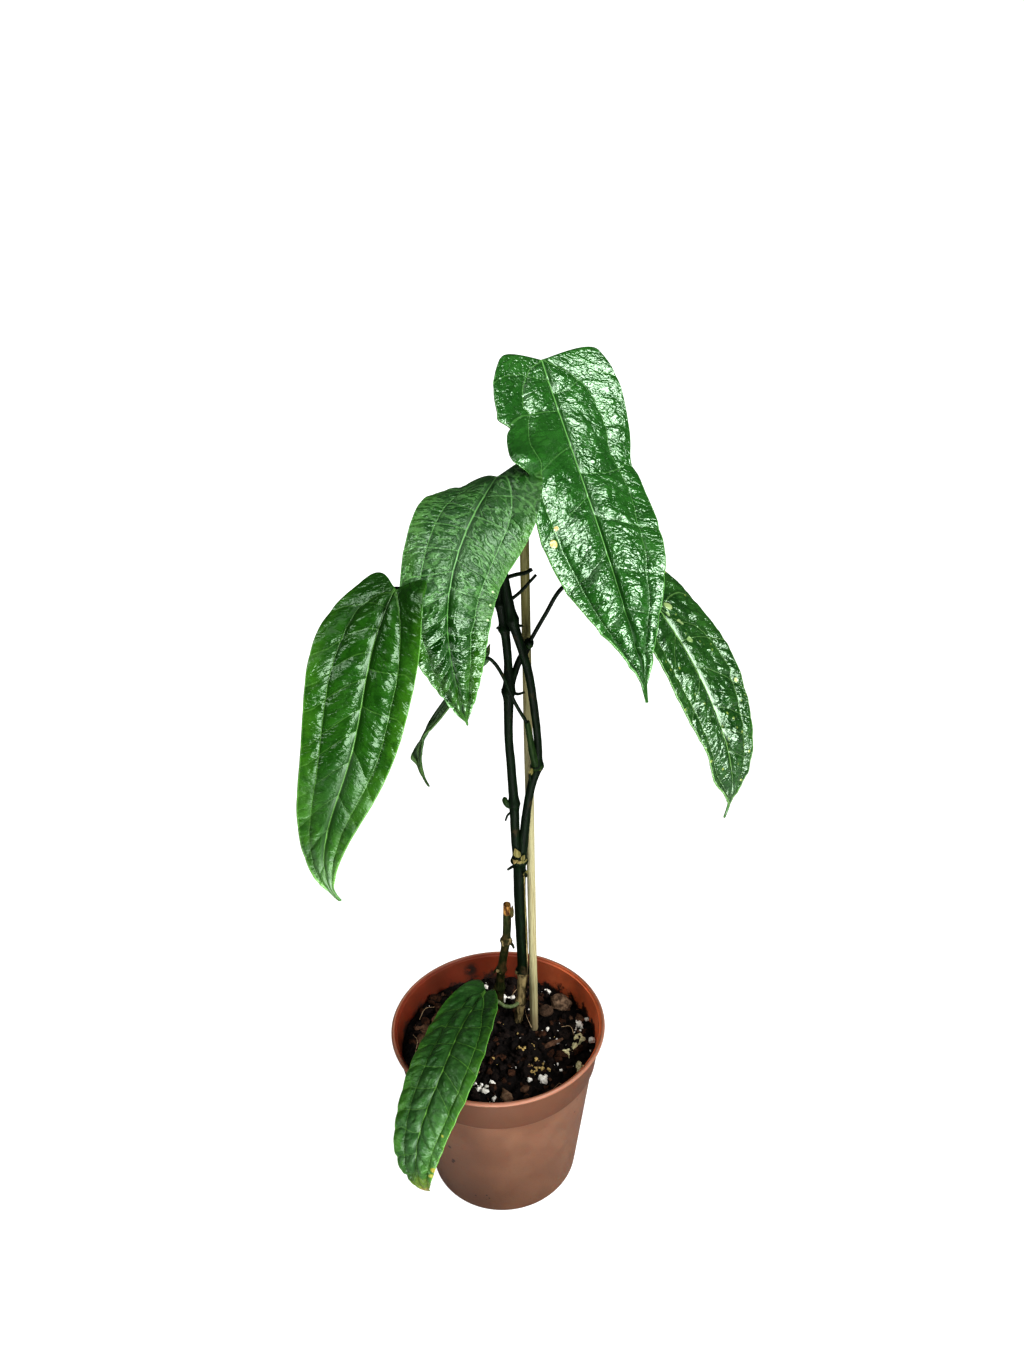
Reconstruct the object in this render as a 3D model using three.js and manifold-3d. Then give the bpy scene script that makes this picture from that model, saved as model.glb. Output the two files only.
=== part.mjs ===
// Potted climbing anthurium: an aroid with long quilted leaves, led up a thin stake in a plastic pot.
// Millimetres, +Z up. The origin is the middle of the pot's underside, and the plant's front faces -Y.
import * as THREE from "three";
import Module from "manifold-3d";
import { ImprovedNoise } from "three/addons/math/ImprovedNoise.js";
import { mergeVertices } from "three/addons/utils/BufferGeometryUtils.js";

const wasm = await Module();
wasm.setup();

// Driving dimensions
const GAP = 0.3;
const POT = {
  height: 102,
  rimRadius: 60,
  collarHeight: 20,
  baseRadius: 42.5,
  shoulderRadius: 55.6,
  collarStep: 1.7,
  collarFlare: 1.2,
  wall: 1.2,
  floor: 1.6,
  footChamfer: 3,
  sides: 48,
  drains: 8,
  drainRadius: 33,
  drainLength: 7,
  drainWidth: 5,
};
const SOIL = { level: 85.5, rings: 11, clearance: 0.4, crumb: 1.5, swell: 1.6, lumps: 22, seed: 7 };
const STAKE = { radius: 2.25, foot: [19.8, 11.6, 20], top: [23.7, 21, 420], sides: 10 };
const LEAF = {
  thickness: 0.7,
  rows: 20,
  tailStart: 0.94,
  tailHalfWidth: 0.5,
  tailTaper: 1.6,
  veinSweep: 0.1,
  collective: 0.62,
  ribDepth: 0.9,
  grooveDepth: 0.45,
  columns: [-1, -0.82, -0.62, -0.33, -0.07, 0, 0.07, 0.33, 0.62, 0.82, 1],
};

// Stems: [x, y, z, radius] at points picked along each one, in the plant's own frame.
const MAIN_STEM = [
  [10.5, 18.8, 56, 2.6], [11.5, 18.6, 86, 2.6], [13.3, 18.2, 99.8, 2.7], [15.1, 17, 122.7, 3.1],
  [15.1, 15, 152.6, 3.3], [15, 12.8, 181.2, 3.3], [15.5, 11, 201.9, 3.5],
];
const LEFT_SHOOT = [
  [15.2, 11, 198, 3], [13.8, 10.5, 218, 2.5], [13.7, 10, 236.7, 2.5], [13.1, 10, 257.5, 2.3],
  [12.4, 10, 274.8, 2.2], [12.7, 10, 288.8, 2.3], [13.1, 10, 301.4, 2.6], [13.4, 10, 315.9, 2.1],
  [12.9, 10, 329, 2.1], [11.6, 9.5, 340.5, 2.1], [10.8, 9, 349.8, 2.2], [10.4, 8, 364, 1.8],
];
const RIGHT_SHOOT = [
  [15.6, 11, 198, 3], [18.3, 10.5, 217.8, 2.6], [20.6, 9.5, 236.7, 2.2], [23.3, 9, 250, 2.2],
  [26.1, 8.5, 260.1, 2.4], [26.8, 8, 272.4, 2], [25.5, 7, 292.5, 2], [23.3, 6, 311.9, 2.1],
  [20.3, 5, 325.6, 2.1], [16.9, 4.5, 338.7, 2.4], [14.6, 4, 351.5, 2.3], [12.6, 3, 370, 2],
];
const SIDE_SHOOT = [
  [13.1, 10, 301.4, 2], [16.1, 11.5, 309.8, 1.7], [18.8, 12, 316.9, 1.7], [21.6, 11.5, 321.7, 1.8],
  [23.6, 11, 326.1, 1.9], [24.3, 10.6, 328.4, 1.4],
];
const ELBOW_SPUR = [
  [26.1, 8.5, 260.1, 2], [24.2, 6.5, 267.6, 2.1], [22.9, 5.5, 277.9, 1.9], [21.6, 5, 287.1, 1.7],
];
const CUT_STEM = [
  [0.1, 31.4, 78, 2.7], [0.6, 30, 90.6, 2.6], [1.2, 29, 101.3, 2.6], [2.6, 27.5, 115.1, 2.4],
  [6.1, 25, 138, 2.3], [7.1, 23.5, 151.1, 2.3], [7.6, 22, 165.3, 2.1],
];

// Swollen rings where leaves once joined: [x, y, z, radius, height] and the stem that each sits on.
const NODES = [
  [15.1, 17, 122.7, 4, 3.4], [13.2, 18.2, 99.6, 3.5, 4], [15.5, 11, 201.9, 4.2, 3.6],
  [13.7, 10, 237.6, 3.2, 4.4], [13.1, 10, 301.6, 3.4, 5], [12.2, 9.8, 334.8, 2.9, 4],
  [10.9, 9, 348, 2.9, 4], [26, 8.4, 260.4, 3.3, 4.4], [16.2, 4.4, 341.5, 3.1, 5],
  [24, 10.9, 327, 2.3, 3], [21.8, 5, 286.3, 2.1, 2.4],
];

// Aerial roots and bud stubs: from a point inside the stem to the tip, with the two radii.
const STUBS = [
  { path: [[12.5, 5.5, 361.5], [19, 3.4, 364], [23.3, 2, 365.2], [26.1, 2, 366.8]], from: 1, to: 0.9 },
  { path: [[14.2, 4, 350.5], [19.8, 3, 355.1], [27.8, 2, 363.9]], from: 0.9, to: 0.7 },
  { path: [[16.2, 4.6, 340], [19.6, 3.6, 338.6], [21, 3.2, 338.8]], from: 0.9, to: 0.5 },
  { path: [[12.4, 9.6, 336], [9.6, 8.6, 336.2], [8.6, 8.4, 335.6]], from: 0.9, to: 0.5 },
  { path: [[13.4, 10, 302], [17.6, 9.4, 300.4], [21, 9.2, 301.4]], from: 1, to: 0.5 },
  { path: [[13.4, 10, 238], [10.4, 9.6, 238.6], [8.6, 9.4, 239.4]], from: 2, to: 1.5 },
  { path: [[13, 10, 233], [10.4, 9.4, 231.4], [8.9, 9.2, 228]], from: 0.7, to: 0.5 },
  { path: [[15, 11.4, 199], [10.8, 10.6, 197.6], [8.8, 10.2, 196.4]], from: 1, to: 0.6 },
  { path: [[15.8, 10, 200], [18.2, 7.4, 197], [18.6, 6.6, 194]], from: 1.1, to: 0.7 },
  { path: [[25, 7.6, 259], [22.6, 6.4, 258], [22.3, 6, 253]], from: 1, to: 0.6 },
];
const CUT_STEM_ROOTS = [
  { path: [[5.8, 25.2, 137], [9.4, 23.6, 136], [10.4, 23, 133.6]], from: 1.1, to: 0.6 },
  { path: [[2.8, 27.4, 116], [-0.8, 26.4, 115.4], [-1.8, 26, 113.6]], from: 1, to: 0.5 },
  { path: [[1.2, 29, 101.3], [-2.4, 28, 100], [-3, 27.6, 97.6]], from: 0.9, to: 0.5 },
];

// Leaves: sinus is where the petiole meets the blade. Angles are in degrees, at even stations from the
// sinus to the tip: heading turns about Z from +X, pitch is the midrib's dip, roll tips the blade about
// the midrib and arch is how far each half bends down by its margin. right and left are half widths.
const LEAVES = {
  leaf_top: {
    sinus: [33.2, 27, 455.2], length: 159, right: 37, left: 35, belly: 2.8, shoulders: [0.8, 0.6],
    heading: [-56, -59, -64, -59], pitch: [60, 57, 56, 71], roll: [-1, -11, 3, -14], arch: [-11, 6, 21],
    lobes: [3, 4], bulge: 0.9, ruffle: [0.9, 2.3, 0.1],
    dents: [
      { side: 1, at: 0.31, depth: 2.5, span: 0.04 }, { side: -1, at: 0.185, depth: 3, span: 0.03 },
      { side: -1, at: 0.31, depth: 5, span: 0.06 },
    ],
    petiole: [[9.6, 7.6, 360], [15, 10, 385], [27, 17, 425], [32.2, 24, 446.5]], radius: 1.2,
  },
  leaf_middle: {
    sinus: [12, -19, 414], length: 125.5, right: 24, left: 22, belly: 2.7, shoulders: [0.64, 0.8],
    heading: [-117, -115, -118, -113], pitch: [16, 43, 97, 112], roll: [12, -42, -36, -16],
    arch: [19, 25, 20], lobes: [9, 8], bulge: 0.7, ruffle: [0.6, 2.6, 0.4], dents: [],
    petiole: [[12.6, 3, 366], [14, 0, 390], [14, -11, 408]], radius: 1.1,
  },
  leaf_left: {
    sinus: [-28.9, -69, 383.7], length: 129.5, right: 17, left: 21.4, belly: 2.8, shoulders: [0.72, 0.72],
    heading: [-126, -114, -123, -136], pitch: [41, 61, 53, 123], roll: [3, -27, -31, -25],
    arch: [-3, 4, 13], lobes: [7, 7], bulge: 0.8, ruffle: [0.7, 3.1, 0.2], dents: [],
    petiole: [[12.8, 3.6, 362], [0, -9, 370], [-16, -37, 376], [-26, -54, 379], [-30.2, -62, 381.8]],
    radius: 1.1,
  },
  leaf_right: {
    sinus: [78, 0, 354], length: 120, right: 29, left: 22, belly: 2.9, shoulders: [0.85, 0.85],
    heading: [-37, -38, -42, -38], pitch: [43, 56, 70, 108], roll: [1, 1, 8, 10], arch: [6, -3, 6],
    lobes: [10, 8], bulge: 0.8, ruffle: [0.8, 2.4, 0.6],
    dents: [{ side: -1, at: 0.78, depth: -3, span: 0.07 }],
    petiole: [[23.6, 11, 326.1], [31.7, 6, 342.6], [40.2, 3, 357.2], [57, 3, 366], [71, 3, 362.5]],
    radius: 1,
  },
  leaf_low: {
    sinus: [-7, 13, 111], length: 144, right: 18, left: 19, belly: 3.8, shoulders: [0.25, 0.78],
    heading: [-120, -105, -128, -119], pitch: [0, -1, 64, 125], roll: [16, 11, -10, -14],
    arch: [-12, 15, 19], lobes: [3, 12], bulge: 0.8, ruffle: [0.7, 2.8, 0], dents: [],
    petiole: [[13.2, 18.2, 99.4], [8.6, 12.5, 100.7], [4.1, 11.5, 101.8], [-1.4, 12, 106.4]], radius: 1.1,
  },
  leaf_curled: {
    sinus: [3, 3, 324], length: 75, right: 4, left: 5, belly: 2, shoulders: [0.5, 0.5], rows: 14,
    heading: [-158, -138, -116, -44], pitch: [36, 36, 35, 37], roll: [56, 18, 34, 71], arch: [48, 42, 40],
    lobes: [4, 4], bulge: 0.3, ruffle: [0.4, 2, 0], dents: [],
    petiole: [[21.7, 5, 286.4], [15.9, 4, 298.7], [10.8, 3.6, 312.8], [6.8, 4, 320]], radius: 0.9,
  },
};

// Pieces of the mix that lie on it as separate lumps: centre, half sizes, turn about Z in degrees.
const LUMPS = {
  clay_pebble: { centre: [36.6, 29.6, 86.6], half: [6.2, 4.8, 3.8], turn: -25, roughness: 0.9, color: "#6b5644" },
  brown_pebble: { centre: [27.6, 23.4, 86.4], half: [4.2, 4, 3], turn: 10, roughness: 0.9, color: "#4a3527" },
  bark_twig: { centre: [31, -1.5, 85.3], half: [8, 1.7, 1.3], turn: 28, roughness: 0.9, color: "#4b3021" },
  bark_shard: { centre: [3.5, -38, 84.9], half: [3.4, 5.4, 1.4], turn: 20, roughness: 0.9, color: "#5b4434" },
};

const rad = THREE.MathUtils.degToRad;
const { lerp, clamp } = THREE.MathUtils;
const vec = (p) => new THREE.Vector3(p[0], p[1], p[2]);

// Deterministic random numbers from 0 to 1
function dice(seed) {
  let state = seed;
  return () => {
    state = (state * 1664525 + 1013904223) % 4294967296;
    return state / 4294967296;
  };
}

// Closed geometry to a solid, with its faces turned outwards
function solid(geometry) {
  const bare = new THREE.BufferGeometry();
  bare.setAttribute("position", geometry.getAttribute("position"));
  if (geometry.index) bare.setIndex(geometry.index);
  const merged = mergeVertices(bare, 1e-4);
  const points = merged.getAttribute("position").array;
  const corners = [];
  let volume = 0;
  for (let i = 0; i < merged.index.count; i += 3) {
    const [a, b, c] = [0, 1, 2].map((k) => merged.index.getX(i + k));
    if (a === b || b === c || c === a) continue;
    const [p, q, r] = [a, b, c].map((n) => new THREE.Vector3().fromArray(points, 3 * n));
    volume += p.dot(q.cross(r));
    corners.push(a, b, c);
  }
  if (volume < 0) corners.reverse();
  return new wasm.Manifold(
    new wasm.Mesh({
      numProp: 3,
      vertProperties: new Float32Array(points),
      triVerts: new Uint32Array(corners),
    }),
  );
}

// The largest single body of a solid, so that no loose scrap of a cut is kept
function mainBody(shape) {
  const bodies = shape.decompose();
  return bodies.reduce((best, body) => (body.volume() > best.volume() ? body : best));
}

function union(shapes) {
  return shapes.reduce((sum, shape) => sum.add(shape));
}

function namedMesh(name, shape, color, roughness, metalness = 0) {
  const mesh = shape.getMesh();
  const geometry = new THREE.BufferGeometry();
  geometry.setAttribute("position", new THREE.BufferAttribute(mesh.vertProperties, 3));
  geometry.setIndex(new THREE.BufferAttribute(mesh.triVerts, 1));
  geometry.computeVertexNormals();
  const material = new THREE.MeshStandardMaterial({ color, roughness, metalness });
  const result = new THREE.Mesh(geometry, material);
  result.name = name;
  return result;
}

// Smooth value through numbers given at even stations from 0 to 1 (Catmull-Rom, ends reflected)
function along(values, u) {
  const last = values.length - 1;
  const x = clamp(u, 0, 1) * last;
  const i = Math.min(Math.floor(x), last - 1);
  const f = x - i;
  const b = values[i];
  const c = values[i + 1];
  const a = i === 0 ? 2 * b - c : values[i - 1];
  const d = i + 2 > last ? 2 * c - b : values[i + 2];
  return 0.5 * (2 * b + (c - a) * f + (2 * a - 5 * b + 4 * c - d) * f * f + (3 * b - a - 3 * c + d) * f ** 3);
}

// Round tube with closed ends through points, its radius given at each point
function tube(points, radii, sides, steps) {
  const curve = new THREE.CatmullRomCurve3(points, false, "centripetal");
  const frames = curve.computeFrenetFrames(steps, false);
  const positions = [];
  const index = [];
  for (let i = 0; i <= steps; i += 1) {
    const u = i / steps;
    const centre = curve.getPointAt(u);
    const radius = along(radii, curve.getUtoTmapping(u));
    for (let k = 0; k < sides; k += 1) {
      const angle = (2 * Math.PI * k) / sides;
      const spoke = centre.clone();
      spoke.addScaledVector(frames.normals[i], radius * Math.cos(angle));
      spoke.addScaledVector(frames.binormals[i], radius * Math.sin(angle));
      positions.push(spoke.x, spoke.y, spoke.z);
      if (i === steps) continue;
      const here = i * sides + k;
      const next = i * sides + ((k + 1) % sides);
      index.push(here, next, here + sides, next, next + sides, here + sides);
    }
  }
  for (const [ring, turn] of [[0, 1], [steps, -1]]) {
    const hub = positions.length / 3;
    curve.getPointAt(ring / steps).toArray(positions, positions.length);
    for (let k = 0; k < sides; k += 1) {
      const edge = [ring * sides + ((k + 1) % sides), ring * sides + k];
      index.push(hub, ...(turn > 0 ? edge : edge.reverse()));
    }
  }
  const geometry = new THREE.BufferGeometry();
  geometry.setAttribute("position", new THREE.Float32BufferAttribute(positions, 3));
  geometry.setIndex(index);
  return solid(geometry);
}

function stemTube(points, extra, sides, stepLength) {
  const path = points.map(vec);
  const length = new THREE.CatmullRomCurve3(path, false, "centripetal").getLength();
  const steps = Math.max(2, Math.round(length / stepLength));
  return tube(path, points.map((p) => p[3] + extra), sides, steps);
}

// A squat bead round a stem
function bead([x, y, z, radius, height], extra) {
  const shape = new THREE.SphereGeometry(1, 8, 5);
  shape.rotateX(Math.PI / 2);
  shape.scale(radius + extra, radius + extra, height / 2 + extra);
  shape.translate(x, y, z);
  return solid(shape);
}

function stub({ path, from, to }, extra) {
  const radii = path.map((p, i) => lerp(from, to, i / (path.length - 1)) + extra);
  return tube(path.map(vec), radii, 5, path.length - 1);
}

// Pot

function wallRadius(z) {
  return lerp(POT.baseRadius, POT.shoulderRadius, z / (POT.height - POT.collarHeight));
}

function collarRadius(z) {
  const low = POT.height - POT.collarHeight;
  return POT.shoulderRadius + POT.collarStep + (POT.collarFlare * (z - low)) / POT.collarHeight;
}

function potProfile() {
  const top = POT.height;
  const low = top - POT.collarHeight;
  const foot = POT.footChamfer;
  const rim = POT.rimRadius;
  const { wall, floor } = POT;
  const outside = [
    [0, 0], [POT.baseRadius - foot, 0], [wallRadius(foot + 0.6), foot + 0.6], [wallRadius(low - 0.8), low - 0.8],
    [collarRadius(low) - 0.1, low + 0.3], [collarRadius(top - 3.2), top - 3.2],
  ];
  const lip = [
    [rim - 0.4, top - 2.4], [rim, top - 1.3], [rim - 0.4, top - 0.4], [rim - 1.3, top], [rim - 2.2, top - 0.4],
    [collarRadius(top) - wall - 0.1, top - 1.6],
  ];
  const inside = [
    [collarRadius(low) - wall, low + 1], [wallRadius(low) - wall, low - 0.3],
    [wallRadius(foot) - wall, foot + 1], [POT.baseRadius - foot - 0.2, floor], [0, floor],
  ];
  return [...outside, ...lip, ...inside];
}

function makePot() {
  const profile = potProfile().map(([r, z]) => new THREE.Vector2(r, z));
  const shell = new THREE.LatheGeometry(profile, POT.sides);
  shell.rotateX(Math.PI / 2);
  let pot = solid(shell);
  for (let i = 0; i < POT.drains; i += 1) {
    const drain = new THREE.BoxGeometry(POT.drainLength, POT.drainWidth, 4 * POT.floor);
    drain.translate(POT.drainRadius, 0, 0);
    drain.rotateZ((2 * Math.PI * (i + 0.5)) / POT.drains);
    pot = pot.subtract(solid(drain));
  }
  return pot;
}

// Potting mix

const noise = new ImprovedNoise();

function soilHeight(x, y) {
  const broad = noise.noise(x / 26 + 3.1, y / 26 - 1.7, 0.5) * SOIL.swell * 2;
  const crumbs = noise.noise(x / 5.5, y / 5.5, 8.2) * SOIL.crumb * 2;
  const left = clamp(-x / 50, -1, 1) * 1.6;
  return SOIL.level + broad + crumbs + left;
}

function makeSoilBody() {
  const low = POT.height - POT.collarHeight;
  const inner = collarRadius(low + 3) - POT.wall - SOIL.clearance;
  const wallInner = (z) => wallRadius(z) - POT.wall - SOIL.clearance;
  const skirt = [
    [inner - 0.4, low + 1.4], [wallInner(low), low + 0.1],
    [wallInner(POT.footChamfer + 1), POT.footChamfer + 1.4], [POT.baseRadius - POT.footChamfer - 0.8, POT.floor + GAP],
  ];
  const positions = [0, 0, soilHeight(0, 0)];
  const index = [];
  const n = POT.sides;
  const rings = [];
  for (let i = 1; i <= SOIL.rings; i += 1) rings.push({ r: (inner * i) / SOIL.rings, z: null });
  for (const [r, z] of skirt) rings.push({ r, z });
  rings.forEach(({ r, z }, i) => {
    for (let k = 0; k < n; k += 1) {
      const angle = (2 * Math.PI * k) / n;
      const x = r * Math.cos(angle);
      const y = r * Math.sin(angle);
      positions.push(x, y, z ?? soilHeight(x, y));
      const here = 1 + i * n + k;
      const next = 1 + i * n + ((k + 1) % n);
      if (i === 0) index.push(0, here, next);
      else index.push(here - n, here, next - n, next - n, here, next);
    }
  });
  const last = 1 + (rings.length - 1) * n;
  const hub = positions.length / 3;
  positions.push(0, 0, POT.floor + GAP);
  for (let k = 0; k < n; k += 1) index.push(hub, last + ((k + 1) % n), last + k);
  const geometry = new THREE.BufferGeometry();
  geometry.setAttribute("position", new THREE.Float32BufferAttribute(positions, 3));
  geometry.setIndex(index);
  return solid(geometry);
}

// A rough stone or chip, made uneven by noise
function lumpSolid({ centre, half, turn }, extra, detail = 1) {
  const shape = new THREE.IcosahedronGeometry(1, detail);
  const points = shape.getAttribute("position");
  for (let i = 0; i < points.count; i += 1) {
    const p = new THREE.Vector3().fromBufferAttribute(points, i);
    const rough = 1 + 0.22 * noise.noise(p.x * 1.7 + centre[0], p.y * 1.7 + centre[1], p.z * 1.7);
    points.setXYZ(i, ...[p.x, p.y, p.z].map((c, axis) => c * (half[axis] * rough + extra)));
  }
  shape.rotateZ(rad(turn));
  shape.translate(...centre);
  return solid(shape);
}

// Small chips fused to the mix, spread by seeded draws and kept off the stems and the loose lumps
function chipSolids() {
  const draw = dice(SOIL.seed);
  const keepOff = [[11.5, 18.6, 8], [20.4, 13.2, 7], [0.6, 30, 8], [-7, 5, 12]];
  for (const { centre, half } of Object.values(LUMPS)) keepOff.push([centre[0], centre[1], half[0] + 4]);
  const chips = [];
  while (chips.length < SOIL.lumps) {
    const angle = 2 * Math.PI * draw();
    const reach = 48 * Math.sqrt(draw());
    const size = lerp(1.6, 3, draw());
    const turn = 360 * draw();
    const x = reach * Math.cos(angle);
    const y = reach * Math.sin(angle);
    if (keepOff.some(([cx, cy, r]) => Math.hypot(x - cx, y - cy) < r + size)) continue;
    const half = [size, size * 0.7, size * 0.6];
    chips.push(lumpSolid({ centre: [x, y, soilHeight(x, y) + 0.25 * size], half, turn }, 0, 0));
  }
  return chips;
}

// Stake and stems; extra grows them evenly, to cut the holes and seats that keep the gap

function stakeSolid(extra) {
  const [foot, top] = [vec(STAKE.foot), vec(STAKE.top)];
  const lift = top.clone().sub(foot).normalize().multiplyScalar(extra);
  const radius = STAKE.radius + extra;
  return tube([foot.clone().sub(lift), top.clone().add(lift)], [radius, radius], STAKE.sides, 8);
}

function plantStem(extra) {
  const shoots = [MAIN_STEM, LEFT_SHOOT, RIGHT_SHOOT, SIDE_SHOOT, ELBOW_SPUR];
  return union([
    ...shoots.map((points) => stemTube(points, extra, 7, 11)),
    ...NODES.map((node) => bead(node, extra)),
    ...STUBS.map((piece) => stub(piece, extra)),
  ]);
}

function cutStem(extra) {
  const rings = [[1.1, 29.1, 100.6, 3.3, 3], [2.6, 27.5, 115, 3.1, 3.4], [6, 25, 137.6, 3.2, 4]];
  return union([
    stemTube(CUT_STEM, extra, 7, 14),
    ...rings.map((ring) => bead(ring, extra)),
    ...CUT_STEM_ROOTS.map((piece) => stub(piece, extra)),
  ]);
}

// Leaves

// Points, side vectors and upward normals along a leaf's midrib, from behind the sinus to the tip
function midrib(leaf) {
  const steps = 240;
  const start = (-1.6 * Math.max(...leaf.lobes)) / leaf.length - 0.02;
  const du = (1 - start) / (steps - 1);
  const backBend = 30;
  const samples = [];
  const point = new THREE.Vector3();
  let before = null;
  for (let i = 0; i < steps; i += 1) {
    const u = start + i * du;
    const heading = rad(along(leaf.heading, u));
    const pitch = rad(along(leaf.pitch, u) - backBend * clamp(u / start, 0, 1));
    const roll = rad(along(leaf.roll, u));
    const tangent = vec([Math.cos(pitch) * Math.cos(heading), Math.cos(pitch) * Math.sin(heading), -Math.sin(pitch)]);
    const across = vec([-Math.sin(heading), Math.cos(heading), 0]);
    const up = tangent.clone().cross(across);
    const side = across.clone().multiplyScalar(Math.cos(roll)).addScaledVector(up, Math.sin(roll));
    const normal = up.clone().multiplyScalar(Math.cos(roll)).addScaledVector(across, -Math.sin(roll));
    if (before) point.addScaledVector(before.clone().add(tangent), (leaf.length * du) / 2);
    before = tangent;
    samples.push({ point: point.clone(), side, normal });
  }
  const frameAt = (u) => {
    const x = clamp((u - start) / du, 0, steps - 1.001);
    const i = Math.floor(x);
    const mix = (key) => samples[i][key].clone().lerp(samples[i + 1][key], x - i);
    return { point: mix("point"), side: mix("side"), normal: mix("normal") };
  };
  const shift = vec(leaf.sinus).sub(frameAt(0).point);
  for (const sample of samples) sample.point.add(shift);
  return frameAt;
}

// Rows of the blade: one on each side vein and one on each swelling between two
function bladeRows(leaf) {
  return leaf.rows ?? LEAF.rows;
}

// Half width of the blade at a station, on its right (1) or left (-1)
function halfWidth(leaf, side, u) {
  const v = clamp(u / LEAF.tailStart, 0, 1);
  const full = side > 0 ? leaf.right : leaf.left;
  const narrow = 1 - (side > 0 ? leaf.shoulders[0] : leaf.shoulders[1]);
  const shoulder = 1 - narrow * (1 - v) ** 14;
  let width = full * shoulder * (1 - v ** leaf.belly) ** 1.05;
  width += LEAF.tailHalfWidth + LEAF.tailTaper * Math.min(1 - u, 0.5);
  for (const dent of leaf.dents) {
    if (dent.side === side) width -= dent.depth * Math.exp(-(((u - dent.at) / dent.span) ** 2));
  }
  return width;
}

// Point of the blade's middle surface: s runs from the base row to the tip and t from margin to margin.
// Rows of equal s follow the side veins, which sweep forward from the midrib.
function bladePoint(leaf, frameAt, s, t) {
  const a = Math.abs(t);
  const side = t > 0 ? 1 : -1;
  const base = (1 - s) ** 7;
  const sweep = LEAF.veinSweep * 4 * s * (1 - s);
  const station = s + sweep * a;
  const lobe = side > 0 ? leaf.lobes[0] : leaf.lobes[1];
  const x = leaf.length * station - lobe * Math.sin(Math.PI * a) * base;
  const y = halfWidth(leaf, side, s + sweep) * ((1 - base) * a + base * Math.sin((Math.PI * a) / 2));
  const { point, side: across, normal } = frameAt(x / leaf.length);
  const bend = rad(along(leaf.arch, station)) / Math.max(leaf.right, leaf.left) || 1e-6;
  const out = Math.sin(bend * y) / bend;
  const fall = (Math.cos(bend * y) - 1) / bend;
  return point.addScaledVector(across, side * out).addScaledVector(normal, fall + relief(leaf, s, a, side, y));
}

// Quilting between the side veins, grooves on the veins and waves at the margin
function relief(leaf, s, a, side, y) {
  const fade = clamp(s / 0.06, 0, 1) * clamp((1 - s) / 0.15, 0, 1);
  const ripple = Math.sin((Math.PI / 2) * bladeRows(leaf) * s) ** 2;
  const inner = Math.sin(Math.PI * clamp(a / LEAF.collective, 0, 1)) ** 0.7;
  const outer = 0.5 * Math.sin(Math.PI * clamp((a - LEAF.collective) / (1 - LEAF.collective), 0, 1)) ** 0.7;
  const quilt = leaf.bulge * ripple * (a < LEAF.collective ? inner : outer);
  const collective = Math.exp(-(((a - LEAF.collective) / 0.05) ** 2));
  const groove = -LEAF.grooveDepth * (Math.exp(-((y / 1.6) ** 2)) + 0.7 * collective);
  const [height, cycles, phase] = leaf.ruffle;
  const wave = height * Math.sin(2 * Math.PI * (cycles * s + phase + (side > 0 ? 0 : 0.37))) * a * a;
  return (quilt + groove + wave) * fade;
}

function bladeSolid(leaf, frameAt) {
  const cols = LEAF.columns.length;
  const rows = bladeRows(leaf);
  const at = (s, t) => bladePoint(leaf, frameAt, s, t);
  const top = [];
  const bottom = [];
  const step = 0.004;
  for (let i = 0; i <= rows; i += 1) {
    const s = i / rows;
    for (const t of LEAF.columns) {
      const centre = at(s, t);
      const alongRow = at(Math.min(s + step, 1), t).sub(at(Math.max(s - step, 0), t));
      const across = at(s, Math.min(t + step, 1)).sub(at(s, Math.max(t - step, -1)));
      const normal = alongRow.cross(across).normalize();
      const rib = LEAF.ribDepth * Math.max(0, 1 - Math.abs(t) / 0.14) * (1 - 0.6 * s);
      top.push(...centre.clone().addScaledVector(normal, LEAF.thickness / 2).toArray());
      bottom.push(...centre.addScaledVector(normal, -LEAF.thickness / 2 - rib).toArray());
    }
  }
  const under = top.length / 3;
  const index = [];
  const quad = (a, b, c, d) => index.push(a, b, c, a, c, d);
  for (let i = 0; i < rows; i += 1) {
    for (let k = 0; k < cols - 1; k += 1) {
      const [a, b, c, d] = [i * cols + k, (i + 1) * cols + k, (i + 1) * cols + k + 1, i * cols + k + 1];
      quad(a, b, c, d);
      index.push(under + a, under + c, under + b, under + a, under + d, under + c);
    }
    for (const [edge, flip] of [[0, false], [cols - 1, true]]) {
      const a = i * cols + edge;
      const b = a + cols;
      if (flip) quad(a, b, under + b, under + a);
      else quad(a, under + a, under + b, b);
    }
  }
  for (const [row, flip] of [[0, true], [rows, false]]) {
    for (let k = 0; k < cols - 1; k += 1) {
      const a = row * cols + k;
      const b = a + 1;
      if (flip) quad(a, b, under + b, under + a);
      else quad(a, under + a, under + b, b);
    }
  }
  const geometry = new THREE.BufferGeometry();
  geometry.setAttribute("position", new THREE.Float32BufferAttribute([...top, ...bottom], 3));
  geometry.setIndex(index);
  return solid(geometry);
}

// Petiole from the stem to the sinus, then on under the blade's base
function petioleSolid(leaf, frameAt) {
  const under = (u, depth) => {
    const { point, normal } = frameAt(u);
    return point.addScaledVector(normal, -depth);
  };
  const path = [...leaf.petiole.map(vec), under(0.004, leaf.radius), under(0.06, leaf.radius * 0.8)];
  const radii = path.map((p, i) => leaf.radius * (i > path.length - 3 ? 0.85 : 1));
  return tube(path, radii, 6, 3 + 2 * leaf.petiole.length);
}

function makeLeaf(leaf, seat) {
  const frameAt = midrib(leaf);
  return mainBody(bladeSolid(leaf, frameAt).add(petioleSolid(leaf, frameAt)).subtract(seat));
}

// Assembly

const plant = new THREE.Group();

plant.add(namedMesh("pot", makePot(), "#9a5a3e", 0.5));

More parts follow.
